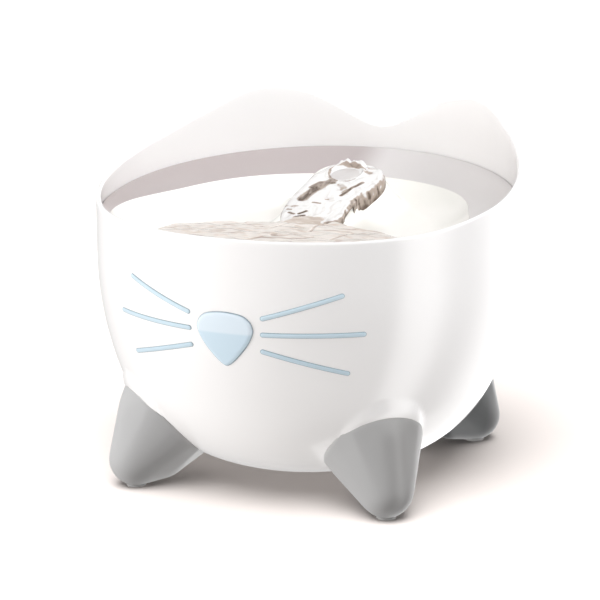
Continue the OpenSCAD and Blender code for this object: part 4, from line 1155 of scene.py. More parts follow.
@dataclass(frozen=True)
class BellyCurve:
    """Side of the bowl: a low arc, a high arc and an upright part above straight_z."""

    bowl_r: float = 110.0
    bowl_clear: float = 8.0
    low_r: float = 72.0
    high_r: float = 177.0
    straight_z: float = 117.0

    @property
    def low_z(self) -> float:
        """Height of the low arc's centre."""
        return self.bowl_clear + self.low_r

    @property
    def high_centre(self) -> float:
        """Distance of the high arc's centre from the axis."""
        return self.bowl_r - self.high_r

    @property
    def low_centre(self) -> float:
        """Distance of the low arc's centre from the axis."""
        span = self.high_r - self.low_r
        return self.high_centre + math.sqrt(span**2 - (self.low_z - self.straight_z) ** 2)

    @property
    def turn(self) -> float:
        """Angle at which the low arc meets the high arc."""
        return math.atan2(self.low_z - self.straight_z, self.low_centre - self.high_centre)

    @property
    def turn_z(self) -> float:
        """Height at which the low arc meets the high arc."""
        return self.straight_z + self.high_r * math.sin(self.turn)

    def radius(self, z: float, inset: float = 0.0) -> float:
        """Distance of the side from the axis at a height, moved inwards by inset.

        Args:
            z: The height.
            inset: How far the side is moved inwards.

        Returns:
            The distance.
        """
        if z >= self.straight_z:
            return self.bowl_r - inset
        if z >= self.turn_z:
            return self.high_centre + math.sqrt((self.high_r - inset) ** 2 - (z - self.straight_z) ** 2)
        drop = min(abs(z - self.low_z), self.low_r - inset)
        return self.low_centre + math.sqrt((self.low_r - inset) ** 2 - drop**2)

    def normal(self, z: float) -> Point2:
        """Outward direction (away from the axis, up) of the side at a height.

        Args:
            z: The height.

        Returns:
            The direction's two parts.
        """
        if z >= self.straight_z:
            return 1.0, 0.0
        if z >= self.turn_z:
            up = (z - self.straight_z) / self.high_r
        else:
            up = max((z - self.low_z) / self.low_r, -1.0)
        return math.sqrt(1 - up**2), up

    def depth(self, rho: float, z: float) -> float:
        """How far a point lies inside the side, along the side's own direction.

        Args:
            rho: The point's distance from the axis.
            z: Its height.

        Returns:
            The depth, below 0 outside.
        """
        if z >= self.straight_z:
            return self.bowl_r - rho
        low = Vector((rho - self.low_centre, z - self.low_z))
        high = Vector((rho - self.high_centre, z - self.straight_z))
        if math.atan2(high.y, high.x) >= self.turn:
            return self.high_r - high.length
        if rho < self.low_centre:
            return z - self.bowl_clear
        return self.low_r - low.length

    def outline(self, inset: float, low_steps: int, high_steps: int) -> list[Point2]:
        """Gives the half outline from the axis up to straight_z.

        Args:
            inset: How far it is moved inwards.
            low_steps: Steps along the low arc.
            high_steps: Steps along the high arc.

        Returns:
            Points of (distance from the axis, height).
        """
        low_at = (self.low_centre, self.low_z, self.low_r - inset)
        high_at = (self.high_centre, self.straight_z, self.high_r - inset)
        low = [blend(-math.pi / 2, self.turn, k / low_steps) for k in range(low_steps + 1)]
        high = [blend(self.turn, 0.0, k / high_steps) for k in range(1, high_steps + 1)]
        return [
            *((self.low_centre * k / 4, self.bowl_clear + inset) for k in range(4)),
            *(arc_point(*low_at, angle) for angle in low),
            *(arc_point(*high_at, angle) for angle in high),
        ]


@dataclass(frozen=True)
class RimCurve:
    """Height of the wavy rim by the angle from the face: level, up to an ear, down to the valley."""

    front_z: float = 145.2
    ear_z: float = 184.4
    valley_z: float = 162.6
    ear_angle: float = 148.0
    # Angle from the face, and the share of the way up to an ear: first before it, then behind it.
    rise: tuple[Point2, ...] = (
        (0, 0), (50, 0), (75, 0.12), (90, 0.23), (110, 0.44), (128, 0.73), (140, 0.95), (148, 1),
    )
    drop: tuple[Point2, ...] = ((148, 1), (158, 0.82), (164, 0.59), (170, 0.31), (176, 0.065), (180, 0))

    def height(self, angle: float) -> float:
        """Gives the rim's height at an angle from 0 to 180 from the face."""
        low, marks = (self.front_z, self.rise) if angle <= self.ear_angle else (self.valley_z, self.drop)
        return blend(low, self.ear_z, through(marks, angle))


BELLY = BellyCurve()
RIM = RimCurve()


def pushed_out(co: Vector, way: float, z: float) -> Vector:
    """Moves a point out by way, along the direction that the bowl's side has at height z."""
    across, up = BELLY.normal(z)
    return co + way * (across * co.xy.normalized().to_3d() + Vector((0, 0, up)))


def side_point(angle: float, z: float, out: float) -> Vector:
    """Gives the point on the bowl's side at an angle in degrees from the face, out from it by out."""
    on_side = towards(angle) * BELLY.radius(z)
    return pushed_out(Vector((*on_side, z)), out, z)


def on_face(p: Vector, rise: float, proud: float, let_in: float) -> Vector:
    """Lays a point of the plane of X and Z on the bowl's front.

    Args:
        p: The point.
        rise: 1 where it stands out fully, 0 at the edge, where it is let in.
        proud: How far it stands out.
        let_in: How deep it is let in.

    Returns:
        The point's place.
    """
    out = math.sqrt(BELLY.radius(p.y) ** 2 - p.x**2) + proud * rise - let_in * (1 - rise)
    return Vector((p.x, -out, p.y))


# ---- bowl ----


@dataclass(frozen=True)
class Brow:
    """The low swelling of the bowl's side over a foot, with a soft crease along its top."""

    proud: float = 2.1
    # Along the surface from the foot's middle, and the height of the crease there.
    crease: tuple[Point2, ...] = (
        (-27, 36), (-22, 45.5), (-18.4, 51.3), (-14, 56.7), (-9.3, 59.7), (-1.9, 61.7),
        (6.3, 61.1), (13.4, 58.7), (18.3, 53.8), (22.3, 47.2), (27, 37),
    )
    # Along the surface from the foot's middle, and the height of the foot's own edge there.
    foot_edge: tuple[Point2, ...] = (
        (-30, 30), (-28, 38), (-23, 45.1), (-18, 48.3), (-13, 50.6), (-8, 52.1), (-3, 52.9),
        (2.4, 53.1), (8, 52.6), (14.4, 50.8), (18, 48.7), (22.6, 44.8), (27, 38), (30, 30),
    )
    # Distance along the surface where the swelling begins to fade and is gone.
    side_from: float = 17.0
    side_to: float = 27.0
    # Heights where it starts and is full, and where it has ended.
    low_z: float = 24.0
    full_z: float = 34.0
    high_z: float = 64.0
    narrowest: float = 2.0
    surface_r: float = 96.8

    def height_at(self, angle: float, z: float) -> float:
        """Gives how far the side swells out at an angle from the foot's middle and a height.

        Args:
            angle: Degrees from the foot's middle.
            z: The height.

        Returns:
            The swelling.
        """
        along = math.radians(angle) * self.surface_r
        if abs(along) > self.side_to or not self.low_z < z < self.high_z:
            return 0.0
        top, low = lookup(self.crease, along), lookup(self.foot_edge, along)
        share = min(max((top - z) / max(top - low, self.narrowest), 0.0), 1.0)
        fade = 1 - smooth(self.side_from, self.side_to, abs(along))
        return self.proud * share * (2 - share) * fade * smooth(self.low_z, self.full_z, z)


BROW = Brow()


@dataclass
class Bowl:
    """The bowl in one moulding: side, wavy rim, ribs, lamp boss and inlet boss."""

    wall: float = 2.6
    # The underside is level within this distance, and a point this near the outside belongs to it.
    level_r: float = 50.0
    skin: float = 0.5
    steps: int = 320
    rib_count: int = 6
    rib_t: float = 3.0
    low_step_reach: float = 12.0
    high_step_reach: float = 7.0
    tray_seat_z: float = 92.0
    dish_seat_z: float = 128.0
    lamp_seat: float = 12.0
    lamp_w: float = 43.0
    lamp_h: float = 41.4
    lamp_ear_r: float = 3.4
    lamp_ear_x: float = 24.7
    nose_z: float = 95.1
    inlet_z: float = 118.0
    inlet_flange_r: float = 8.6
    inlet_barrel_r: float = 6.0
    inlet_face: float = 107.2
    inlet_boss_t: float = 6.2
    inlet_boss_rim: float = 1.4
    inlet_cut: float = 16.0
    # Corners of a rib's outer side between its seats and its heel, and how far the heel may reach out.
    rib_marks: tuple[float, ...] = (117.0, 105.0, 92.0, 80.0, 68.0)
    rib_heel: float = 0.4
    rib_round: float = 0.35
    lamp_ear_t: float = 4.5

    def section(self) -> list[Point2]:
        """Gives the wall's closed half section, with a round lip at the ears' height.

        Returns:
            Points of (distance from the axis, height).
        """
        top, half = RIM.ear_z, self.wall / 2
        outside = BELLY.outline(0.0, low_steps=64, high_steps=40)
        inside = BELLY.outline(self.wall, low_steps=28, high_steps=20)
        upright = [BELLY.straight_z + (top - half - BELLY.straight_z) * k / 15 for k in range(1, 16)]
        lip = [arc_point(BELLY.bowl_r - half, top - half, half, math.pi * k / 10) for k in range(1, 10)]
        return [
            *outside,
            *((BELLY.bowl_r, z) for z in upright),
            *lip,
            *((BELLY.bowl_r - self.wall, z) for z in reversed(upright)),
            *reversed(inside),
        ]

    def shaped(self, co: Vector) -> Vector:
        """Lowers the spun lip to the wavy rim, and swells the side over the feet.

        Args:
            co: The point.

        Returns:
            The point's new place.
        """
        half = self.wall / 2
        if co.z > BELLY.straight_z:
            low, high = BELLY.straight_z, RIM.ear_z - half
            rim = RIM.height(abs(face_angle(co.x, co.y)))
            lowered = low + (co.z - low) * (rim - half - low) / (high - low)
            co.z = rim - RIM.ear_z + co.z if co.z > high else lowered
            return co
        rho = math.hypot(co.x, co.y)
        if rho < self.level_r or BELLY.depth(rho, co.z) > self.skin:
            return co
        angle = face_angle(co.x, co.y)
        swell = sum(BROW.height_at((angle - foot + 180) % 360 - 180, co.z) for foot in FEET.values())
        return pushed_out(co, swell, co.z)

    def shell(self) -> BMesh:
        """Makes the wall, with the round hole behind the power inlet.

        Returns:
            The wall.
        """
        bm = revolve(self.section(), self.steps)
        move(bm, self.shaped)
        face_out(bm)
        through_wall = turned("X", -90, (0, self.inlet_face - self.inlet_cut / 2, self.inlet_z))
        return cut_away(bm, rod(self.inlet_flange_r, self.inlet_cut, through_wall, 96))

    def rib(self, angle: float) -> BMesh:
        """Makes one stepped rib that carries the tray and the dish.

        Args:
            angle: The angle from the face in degrees.

        Returns:
            The rib.
        """
        low_r, high_r = BELLY.bowl_r - self.low_step_reach, BELLY.bowl_r - self.high_step_reach
        sunk = self.wall / 2
        side = [(BELLY.radius(z, sunk), z) for z in (self.dish_seat_z, *self.rib_marks)]
        heel = next(z for z in range(64, 20, -1) if BELLY.radius(z, sunk) < low_r + self.rib_heel)
        steps = [(low_r, heel), (low_r, self.tray_seat_z), (high_r, self.tray_seat_z)]
        outline = [*steps, (high_r, self.dish_seat_z), *side]
        upright = turned("X", 90) @ Matrix.Translation((0, 0, -self.rib_t / 2))
        bm = prism(outline, self.rib_t, turned("Z", angle - 90) @ upright)
        round_off(bm, bm.edges[:], self.rib_round, 2)
        return bm

    def lamp_boss(self) -> BMesh:
        """Makes the flat pad behind the face that the lamp housing is screwed to.

        Returns:
            The pad with its two ears.
        """
        w, h, seat = self.lamp_w / 2, self.lamp_h / 2, BELLY.bowl_r - self.lamp_seat
        bm = bmesh.new()
        bmesh.ops.create_grid(bm, x_segments=14, y_segments=14, size=1.0)
        move(bm, lambda co: Vector((co.x * w, -seat, self.nose_z + co.y * h)))
        base = bm.faces[:]
        for vert in verts_in(bmesh.ops.extrude_face_region(bm, geom=base)["geom"]):
            reach = BELLY.radius(vert.co.z, self.wall / 2)
            vert.co.y = -math.sqrt(reach**2 - vert.co.x**2)
        face_out(bm)
        for side in Side:
            deep = turned("X", 90, (side.value * self.lamp_ear_x, -seat, self.nose_z))
            join(bm, rod(self.lamp_ear_r, self.lamp_ear_t, deep, 32))
        return bm

    def inlet_boss(self) -> BMesh:
        """Makes the ring behind the power inlet, whose outer face is the pocket's floor.

        Returns:
            The ring.
        """
        outer = self.inlet_flange_r + self.inlet_boss_rim
        ring = tube(self.inlet_barrel_r, outer, -self.inlet_boss_t, 0, 72)
        at = turned("X", -90, (0, self.inlet_face, self.inlet_z))
        bmesh.ops.transform(ring, matrix=at, verts=ring.verts)
        return ring

    def build(self) -> None:
        """Makes the bowl's piece."""
        bm = self.shell()
        for i in range(self.rib_count):
            join(bm, self.rib((i + 0.5) * 360 / self.rib_count))
        join(bm, self.lamp_boss())
        join(bm, self.inlet_boss())
        add_piece("bowl_moulding", bm, GLOSS_WHITE_ABS, Body.BASE, ["bowl"], crease=50)


# ---- feet ----


@dataclass
class PawFoot:
    """One moulded foot: a rounded paw that leans out under the bowl."""

    name: str
    angle: float
    # Balls at the tip, the knee, the sole and the heel: distance from the axis, height and radius.
    balls: tuple[tuple[float, float, float], ...] = (
        (97.6, 13.9, 13.9), (89.4, 39.2, 16.2), (83.5, 15.4, 13.4), (62.6, 21.0, 8.0),
    )
    # Height of the sole above the floor, and how deep the foot's inner part lies under the bowl's side.
    pad_proud: float = 1.0
    sunk: float = 1.2
    heart: tuple[float, float, float] = (0.0, -80.0, 32.0)
    softenings: int = 6
    # Where the foot meets the bowl: degrees from the foot's middle, and height.
    edge: tuple[Point2, ...] = (
        (0, 53.1), (3, 52.9), (6, 51.9), (8.6, 50.4), (11, 48.2), (13.5, 44.9),
        (15.6, 40.6), (17.2, 36.4), (18.6, 31.0), (18.4, 26.0), (16.5, 21.5),
    )

    def hull(self) -> BVHTree:
        """Gives the skin stretched over the foot's edge and the balls that set its form.

        Returns:
            The skin, ready for rays.
        """
        bm = bmesh.new()
        for reach, z, radius in self.balls:
            at = Matrix.Translation((0, -reach, z))
            bmesh.ops.create_icosphere(bm, subdivisions=4, radius=radius, matrix=at)
        bmesh.ops.delete(bm, geom=[*bm.edges, *bm.faces], context="EDGES_FACES")
        for angle, z in self.edge:
            for side in Side:
                turn = side.value * angle
                bm.verts.new(side_point(turn, z, BROW.height_at(turn, z)))
        bmesh.ops.convex_hull(bm, input=bm.verts, use_existing_faces=False)
        tree = BVHTree.FromBMesh(bm)
        bm.free()
        return tree

    def settle(self, co: Vector) -> Vector:
        """Keeps the sole flat, and the part inside the bowl just under the bowl's side.

        Args:
            co: The point.

        Returns:
            The point's new place.
        """
        co.z = max(co.z, self.pad_proud)
        # The side is curved, so a few steps along its direction bring a point just under it.
        for _ in range(4):
            away = BELLY.depth(math.hypot(co.x, co.y), co.z) - self.sunk
            if away <= 0:
                break
            co = pushed_out(co, away, min(co.z, BELLY.straight_z - 1))
        return co

    def build(self) -> None:
        """Makes the foot's piece."""
        skin, heart = self.hull(), Vector(self.heart)
        bm = bmesh.new()
        bmesh.ops.create_icosphere(bm, subdivisions=6, radius=1.0)
        move(bm, lambda co: skin.ray_cast(heart, co.normalized())[0])
        for _ in range(self.softenings):
            bmesh.ops.smooth_vert(
                bm, verts=bm.verts, factor=0.5, use_axis_x=True, use_axis_y=True, use_axis_z=True
            )
        move(bm, self.settle)
        bmesh.ops.transform(bm, matrix=turned("Z", self.angle), verts=bm.verts)
        face_out(bm)
        # The rear feet wear the finish with painted shade on their inner side.
        finish = SATIN_GREY_ABS if abs(self.angle) < 90 else REAR_FOOT_PAINTED_SHADE_ABS
        add_piece(self.name + "_moulding", bm, finish, Body.BASE, [self.name], crease=60)


# ---- face ----


@dataclass
class Nose:
    """The nose lens: a domed front that follows the bowl's side, a stem and a flange behind it."""

    width: float = 29.8
    height: float = 28.2
    z: float = 95.1
    proud: float = 1.2
    flange_w: float = 4.0
    flange_t: float = 1.2
    flange_front: float = 97.2
    half: tuple[Point2, ...] = (
        (0, 1), (0.6, 0.92), (0.89, 0.71), (1, 0.42), (0.945, 0.14),
        (0.76, -0.22), (0.475, -0.6), (0.21, -0.88), (0, -1),
    )
    rings: int = 28
    steps: int = 144
    # Width of the edge where painted shade falls.
    edge_w: float = 0.8
    # Width over which the front turns down at its outline, and how deep under the side it ends.
    dome_w: float = 2.4
    let_in: float = 0.25

    def loop(self, grow: float = 0.0) -> list[Vector]:
        """Gives the nose's outline in the plane of X and Z around its middle, grown by grow.

        Args:
            grow: How far it is grown.

        Returns:
            The outline's points.
        """
        other = [(-x, y) for x, y in reversed(self.half[1:-1])]
        w, h = self.width / 2, self.height / 2
        points = smooth_loop([(x * w, y * h) for x, y in (*self.half, *other)], 8)
        if not grow:
            return points
        grown = []
        for i, p in enumerate(points):
            along = (points[(i + 1) % len(points)] - points[i - 1]).normalized()
            grown.append(p + grow * Vector((-along.y, along.x)))
        return grown

    def front(self, reach: Sequence[float]) -> BMesh:
        """Makes the domed front with its stem.

        Args:
            reach: The outline's distance from the nose's middle in each direction.

        Returns:
            The mesh.
        """

        def domed(co: Vector) -> Vector:
            """Lays a point of the unit disc on the domed front."""
            p, gap = fanned(co, Vector((0, self.z)), reach)
            return on_face(p, rounded(gap, self.dome_w), self.proud, self.let_in)

        bm = disc(self.rings, self.steps)
        move(bm, domed)
        close_back(bm, lambda co: Vector((co.x, -self.flange_front, co.z)))
        face_out(bm)
        return bm

    def build(self) -> None:
        """Makes the nose's piece."""
        reach = reach_of(self.loop(), Vector((0, 0)), self.steps)

        def edge_share(co: Vector) -> float:
            """Says how near a point is to the outline, from 0 to 1."""
            k = direction(self.steps, co.x, co.z - self.z)
            return 1 - smooth(0.0, self.edge_w, reach[k] - math.hypot(co.x, co.z - self.z))

        bm = self.front(reach)
        at = turned("X", 90, (0, -self.flange_front, self.z))
        flange = prism([tuple(p) for p in self.loop(self.flange_w)], -self.flange_t, at)
        face_out(flange)
        join(bm, flange)
        add_piece("nose_dome", bm, NOSE_ACRYLIC, Body.BASE, ["nose_lens"], edge_of=edge_share)


@dataclass
class Whisker:
    """One whisker: a slim bar with round ends and a rounded top, let into the bowl's side."""

    side: Side
    row: str
    end_angle: float
    start_rise: float
    end_rise: float
    start_angle: float = 10.35
    turn: float = 22.0
    nose_z: float = 95.1
    width: float = 2.6
    proud: float = 0.6
    depth: float = 1.2
    # How deep under the side its top ends, and the width of its edge, where painted shade falls.
    let_in: float = 0.12
    edge_w: float = 0.55

    def end_at(self, angle: float, rise: float) -> Vector:
        """Gives one end, in the plane that the whisker is drawn in, turned back to the face."""
        across = BELLY.bowl_r * math.sin(math.radians(angle - self.turn))
        return Vector((self.side.value * across, self.nose_z + rise))

    def build(self) -> None:
        """Makes the whisker's piece."""
        near = self.end_at(self.start_angle, self.start_rise)
        far = self.end_at(self.end_angle, self.end_rise)
        length, half = (far - near).length + self.width, self.width / 2
        along = (far - near).normalized()
        middle = (near + far) / 2
        bm = bmesh.new()
        layer = bm.verts.layers.float.new(EDGE)
        bmesh.ops.create_grid(bm, x_segments=90, y_segments=14, size=1.0)
        for vert in bm.verts:
            # Rows crowd towards the round ends and the long edges.
            run = math.sin(vert.co.x * math.pi / 2) * length / 2
            past = max(abs(run) - (length / 2 - half), 0.0)
            across = math.sin(vert.co.y * math.pi / 2) * math.sqrt(max(half**2 - past**2, 0.0))
            gap = min(half - math.hypot(past, across), half)
            p = middle + along * run + Vector((-along.y, along.x)) * across
            vert.co = on_face(p, rounded(gap, half), self.proud, self.let_in)
            vert[layer] = 1 - smooth(0.0, self.edge_w, gap)
        bmesh.ops.remove_doubles(bm, verts=bm.verts, dist=POLE_MERGE)
        close_back(bm, lambda co: co + Vector((0, self.depth, 0)))
        face_out(bm)
        bmesh.ops.transform(bm, matrix=turned("Z", self.side.value * self.turn), verts=bm.verts)
        name = f"whisker_{self.side.name.lower()}_{self.row}"
        add_piece(name + "_bar", bm, WHISKER_ACRYLIC, Body.BASE, [name], crease=60)


@dataclass
class Face:
    """The nose and the six whiskers."""

    # Row name, angle of the outer end, and heights over the nose's middle at its inner and outer end.
    rows: tuple[tuple[str, float, float, float], ...] = (
        ("upper", 30.4, 11.9, 23.4),
        ("middle", 36.0, 3.6, 3.6),
        ("lower", 31.8, -5.1, -16.5),
    )

    def build(self) -> None:
        """Makes the face's pieces."""
        Nose().build()
        for side in Side:
            for row, end, start_rise, end_rise in self.rows:
                Whisker(side, row, end, start_rise, end_rise).build()


# ---- drinking dish ----


@dataclass(frozen=True)
class BasinForm:
    """Upper side of the dish: a basin that widens to the front, and the hill that carries the spout."""

    # Angle from the face, and the distance of the basin's edge from the axis there.
    edge_marks: tuple[Point2, ...] = (
        (0, 104.4), (30, 104.4), (52, 104), (62, 102.6), (72, 98.8), (80, 94.6), (86, 90.4), (92, 86.8),
        (100, 83.4), (108, 82.4), (120, 82.8), (132, 84), (145, 84.8), (160, 85), (180, 85),
    )
    rim_z: float = 138.5
    floor_z: float = 129.0
    curve_w: float = 20.0
    spout_y: float = 53.0
    spout_z: float = 145.7
    tilt: float = 8.5
    crown_r: float = 17.0
    foot_r: float = 31.0
    foot_y: float = 51.0
    foot_z: float = 129.8
    toe_r: float = 19.0
    toe_y: float = -12.0
    toe_z: float = 127.8
    softness: float = 1.6
    # Where the basin lies this far above the hill, the hill no longer lifts it.
    hill_depth: float = 12.0

    @property
    def slope(self) -> float:
        """How steeply the crown falls to the front."""
        return math.tan(math.radians(self.tilt))

    @property
    def mouth(self) -> Matrix:
        """Where the spout's mouth lies, and how it is tilted."""
        return turned("X", self.tilt, (0, self.spout_y, self.spout_z))

    def edge(self, angle: float) -> float:
        """Distance of the basin's edge from the bowl's axis at an angle in degrees from the face."""
        return through(self.edge_marks, abs(angle))

    def bowl_height(self, x: float, y: float) -> float:
        """Height of the basin without its hill.

        Args:
            x: Distance to the right.
            y: Distance to the back.

        Returns:
            The height.
        """
        depth = self.rim_z - self.floor_z
        curve_r = (self.curve_w**2 + depth**2) / (2 * depth)
        inwards = self.edge(face_angle(x, y)) - math.hypot(x, y)
        run = min(max(self.curve_w - inwards, 0.0), self.curve_w)
        return self.floor_z + curve_r - math.sqrt(curve_r**2 - run**2)

    def leg(self, x: float, y: float, end_r: float, end_y: float, end_z: float) -> float:
        """Height of the slope that runs from the crown to one end disc.

        Args:
            x: Distance to the right.
            y: Distance to the back.
            end_r: The end disc's radius.
            end_y: Where its middle lies.
            end_z: Its height.

        Returns:
            The height at (x, y), or minus infinity where the slope doesn't reach.
        """
        dy, dr = end_y - self.spout_y, end_r - self.crown_r
        py = y - self.spout_y
        # The disc whose edge runs through the point lies a share t of the way from the crown to the end.
        a = dy * dy - dr * dr
        b = -2 * (py * dy + self.crown_r * dr)
        c = x * x + py * py - self.crown_r**2
        t = 0.0
        if c > 0:
            root = b * b - 4 * a * c
            both = [(-b + sign * math.sqrt(root)) / (2 * a) for sign in (-1, 1)] if root >= 0 else []
            ahead = [share for share in both if share >= 0 and self.crown_r + share * dr > 0]
            if not ahead:
                return -math.inf
            t = min(ahead)
        fall = self.slope * max(1 - t, 0.0) * (py - dy * t)
        return self.spout_z + (end_z - self.spout_z) * t + fall

    def height(self, x: float, y: float) -> float:
        """Height of the dish's upper side.

        Args:
            x: Distance to the right.
            y: Distance to the back.

        Returns:
            The height.
        """
        low = self.bowl_height(x, y)
        foot = self.leg(x, y, self.foot_r, self.foot_y, self.foot_z)
        hill = max(foot, self.leg(x, y, self.toe_r, self.toe_y, self.toe_z))
        gap = low - hill
        if gap > self.hill_depth:
            return low
        return max(low, hill) + self.softness * math.log1p(math.exp(-abs(gap) / self.softness))


BASIN = BasinForm()


@dataclass
class DrinkingDish:
    """The dish: basin and hill, the flange under the collar, the seat skirt and the riser's socket."""

    thick: float = 2.2
    dish_r: float = 106.7
    skirt_t: float = 2.8
    seat_z: float = 128.0
    socket_r: float = 7.6
    socket_outer: float = 9.8
    socket_bottom: float = 113.0
    mouth_r: float = 9.5
    flange_from: float = 80.0
    drain_count: int = 7
    drain_w: float = 3.0
    drain_from: float = 64.0
    drain_to: float = 77.0
    drain_shift: float = 6.0
    drain_span: float = 90.0
    drain_cut: float = 12.0
    # How far the flange's top lies under the dish's, and its hole's edge inside the basin's.
    flange_drop: float = 0.6
    flange_gap: float = 1.2
    socket_drop: float = 4.2
    rings: int = 72
    steps: int = 256

    def edge_loop(self) -> list[Vector]:
        """Gives the basin's edge in plan."""
        return [BASIN.edge(a) * towards(a) for a in range(-180, 180)]

    def basin(self) -> BMesh:
        """Makes the basin and its hill around the spout's hole.

        Returns:
            The basin's wall.
        """
        bm = revolve([(1 + k / self.rings, 0.0) for k in range(self.rings + 1)], self.steps)
        spout = Vector((0, BASIN.spout_y))
        reach = reach_of(self.edge_loop(), spout, self.steps)

        def laid(co: Vector) -> Vector:
            """Lays a point of the flat ring between the spout's mouth and the basin's edge.

            Args:
                co: The point.

            Returns:
                The point's new place.
            """
            k = direction(self.steps, co.x, co.y)
            share = min(max(math.hypot(co.x, co.y) - 1, 0.0), 1.0)
            p = spout + unit(self.steps, k) * blend(self.mouth_r, reach[k], share)
            return Vector((p.x, p.y, BASIN.height(p.x, p.y)))

        move(bm, laid)
        inner = [v for v in bm.verts if not v.is_boundary]
        for _ in range(3):
            bmesh.ops.smooth_vert(
                bm, verts=inner, factor=0.5, use_axis_x=False, use_axis_y=False, use_axis_z=True
            )
        face_out(bm)
        if sum(f.normal.z for f in bm.faces) < 0:
            bmesh.ops.reverse_faces(bm, faces=bm.faces)
        bmesh.ops.solidify(bm, geom=bm.faces[:], thickness=self.thick)
        return bm

    def drains(self) -> BMesh:
        """Makes the cutters of the drain slots around the basin's front.

        Returns:
            The cutters.
        """
        slots = bmesh.new()
        half = self.drain_w / 2
        round_end = [math.pi * k / 8 for k in range(9)]
        for i in range(self.drain_count):
            outline = [(half * math.cos(a), -self.drain_from - half + half * math.sin(a)) for a in round_end]
            outline += [(-half * math.cos(a), -self.drain_to + half - half * math.sin(a)) for a in round_end]
            turn = (i - (self.drain_count - 1) / 2) * self.drain_span / self.drain_count
            at = turned("Z", turn, (0, -self.drain_shift, BASIN.floor_z - self.drain_cut / 2))
            join(slots, prism(outline, self.drain_cut, at))
        return slots

    def under(self) -> BMesh:
        """Makes the flange, the skirt and the socket.

        Returns:
            The mesh.
        """
        inner, outer, hole = self.dish_r - self.skirt_t, self.dish_r, self.flange_from
        top, foot = BASIN.rim_z - self.thick - self.flange_drop, self.seat_z
        low = top - self.thick
        section = [(inner, foot), (outer, foot), (outer, top), (hole, top), (hole, low), (inner, low)]
        bm = revolve(section, self.steps, closed=True)

        def around_basin(co: Vector) -> Vector:
            """Draws the flange's hole to just inside the basin's edge.

            Args:
                co: The point.

            Returns:
                The point's new place.
            """
            rho = math.hypot(co.x, co.y)
            if rho > self.flange_from + 0.5:
                return co
            edge = BASIN.edge(face_angle(co.x, co.y)) - self.flange_gap
            return Vector((co.x * edge / rho, co.y * edge / rho, co.z))

        move(bm, around_basin)
        face_out(bm)
        top = BASIN.spout_z - self.socket_drop
        socket = tube(self.socket_r, self.socket_outer, self.socket_bottom, top, 72)
        bmesh.ops.translate(socket, vec=(0, BASIN.spout_y, 0), verts=socket.verts)
        join(bm, socket)
        return bm

    def build(self) -> None:
        """Makes the dish's piece."""
        bm = cut_away(self.basin(), self.drains())
        join(bm, self.under())
        add_piece("dish_moulding", bm, CREAM_ABS, Body.DISH, ["drinking_dish"], crease=45)


@dataclass
class Collar:
    """The sloping band between the basin and the bowl's wall, highest at the back."""

    front_z: float = 140.2
    back_z: float = 150.2
    outer_r: float = 107.0
    thick: float = 2.0
    crown: float = 0.5
    edge_drop: float = 0.3
    # Share of the way to the back where the rise begins, how softly it does, and the gap to the dish.
    rise_from: float = 0.43
    softness: float = 0.004
    gap: float = 0.05
    steps: int = 256

    def top(self, angle: float) -> float:
        """Height of the outer edge at an angle from the face.

        Args:
            angle: The angle from the face in degrees.

        Returns:
            The height.
        """
        back = (1 - math.cos(math.radians(angle))) / 2
        rise = (back - self.rise_from) / (1 - self.rise_from)
        lift = (rise + math.sqrt(rise * rise + self.softness)) / 2
        return self.front_z + (self.back_z - self.front_z) * lift

    def build(self) -> None:
        """Makes the collar's piece."""
        # The section is spun with the share across the band as its distance past start, and its depth
        # as its height.
        start = 100.0
        across = [k / 12 for k in range(13)]
        section = [(start + share, 0.0) for share in across]
        section += [(start + 1, -2 * self.edge_drop), (start + 1, -self.thick - self.edge_drop)]
        section += [(start + share, -self.thick) for share in reversed(across[:-1])]
        bm = revolve(section, self.steps, closed=True)

        def laid(co: Vector) -> Vector:
            """Lays a point of the spun section on the band.

            Args:
                co: The point.

            Returns:
                The point's new place.
            """
            angle, share = face_angle(co.x, co.y), math.hypot(co.x, co.y) - start
            p = towards(angle) * blend(BASIN.edge(angle) + self.gap, self.outer_r, share)
            bow = self.crown * (0.8 - (2 * share - 1) ** 4)
            return Vector((p.x, p.y, blend(BASIN.rim_z, self.top(angle), share) + bow + co.z))

        move(bm, laid)
        face_out(bm)
        add_piece("collar_band", bm, COLLAR_ABS, Body.DISH, ["dish_collar"], crease=50)


@dataclass
class SpoutRing:
    """The soft ring in the spout's mouth, with rounded lips."""

    inner_r: float = 7.6
    outer_r: float = 9.4
    height: float = 4.0
    lip: float = 0.5

    def build(self) -> None:
        """Makes the ring's piece."""
        bm = tube(self.inner_r, self.outer_r, -self.height, 0, 96)
        on_top = [edge for edge in bm.edges if max(abs(vert.co.z) for vert in edge.verts) < POLE_MERGE]
        lips = [edge for edge in on_top if edge.calc_length() < (self.outer_r - self.inner_r) / 2]
        round_off(bm, lips, self.lip, 4)
        bmesh.ops.transform(bm, matrix=BASIN.mouth, verts=bm.verts)
        add_piece("spout_mouth_ring", bm, PALE_SILICONE, Body.DISH, ["spout_ring"])


# ---- water ----


@dataclass(frozen=True)
class Fold:
    """A fold in the water that bends the light away: a soft line with a width and a darkness of painted
    shade.
    """

    line: tuple[Point2, ...]
    width: float
    dark: float

    def at(self, x: float, y: float) -> float:
        """Gives how dark the fold makes the water at a point.

        Args:
            x: Distance to the right.
            y: Distance to the back.

        Returns:
            The darkness.
        """
        here = Vector((x, y))
        best = math.inf
        for p, q in zip(self.line, self.line[1:]):
            start, edge = Vector(p), Vector(q) - Vector(p)
            share = min(max((here - start).dot(edge) / edge.length_squared, 0.0), 1.0)
            best = min(best, (here - start - edge * share).length)
        return self.dark * (1 - smooth(self.width * 0.35, self.width, best))


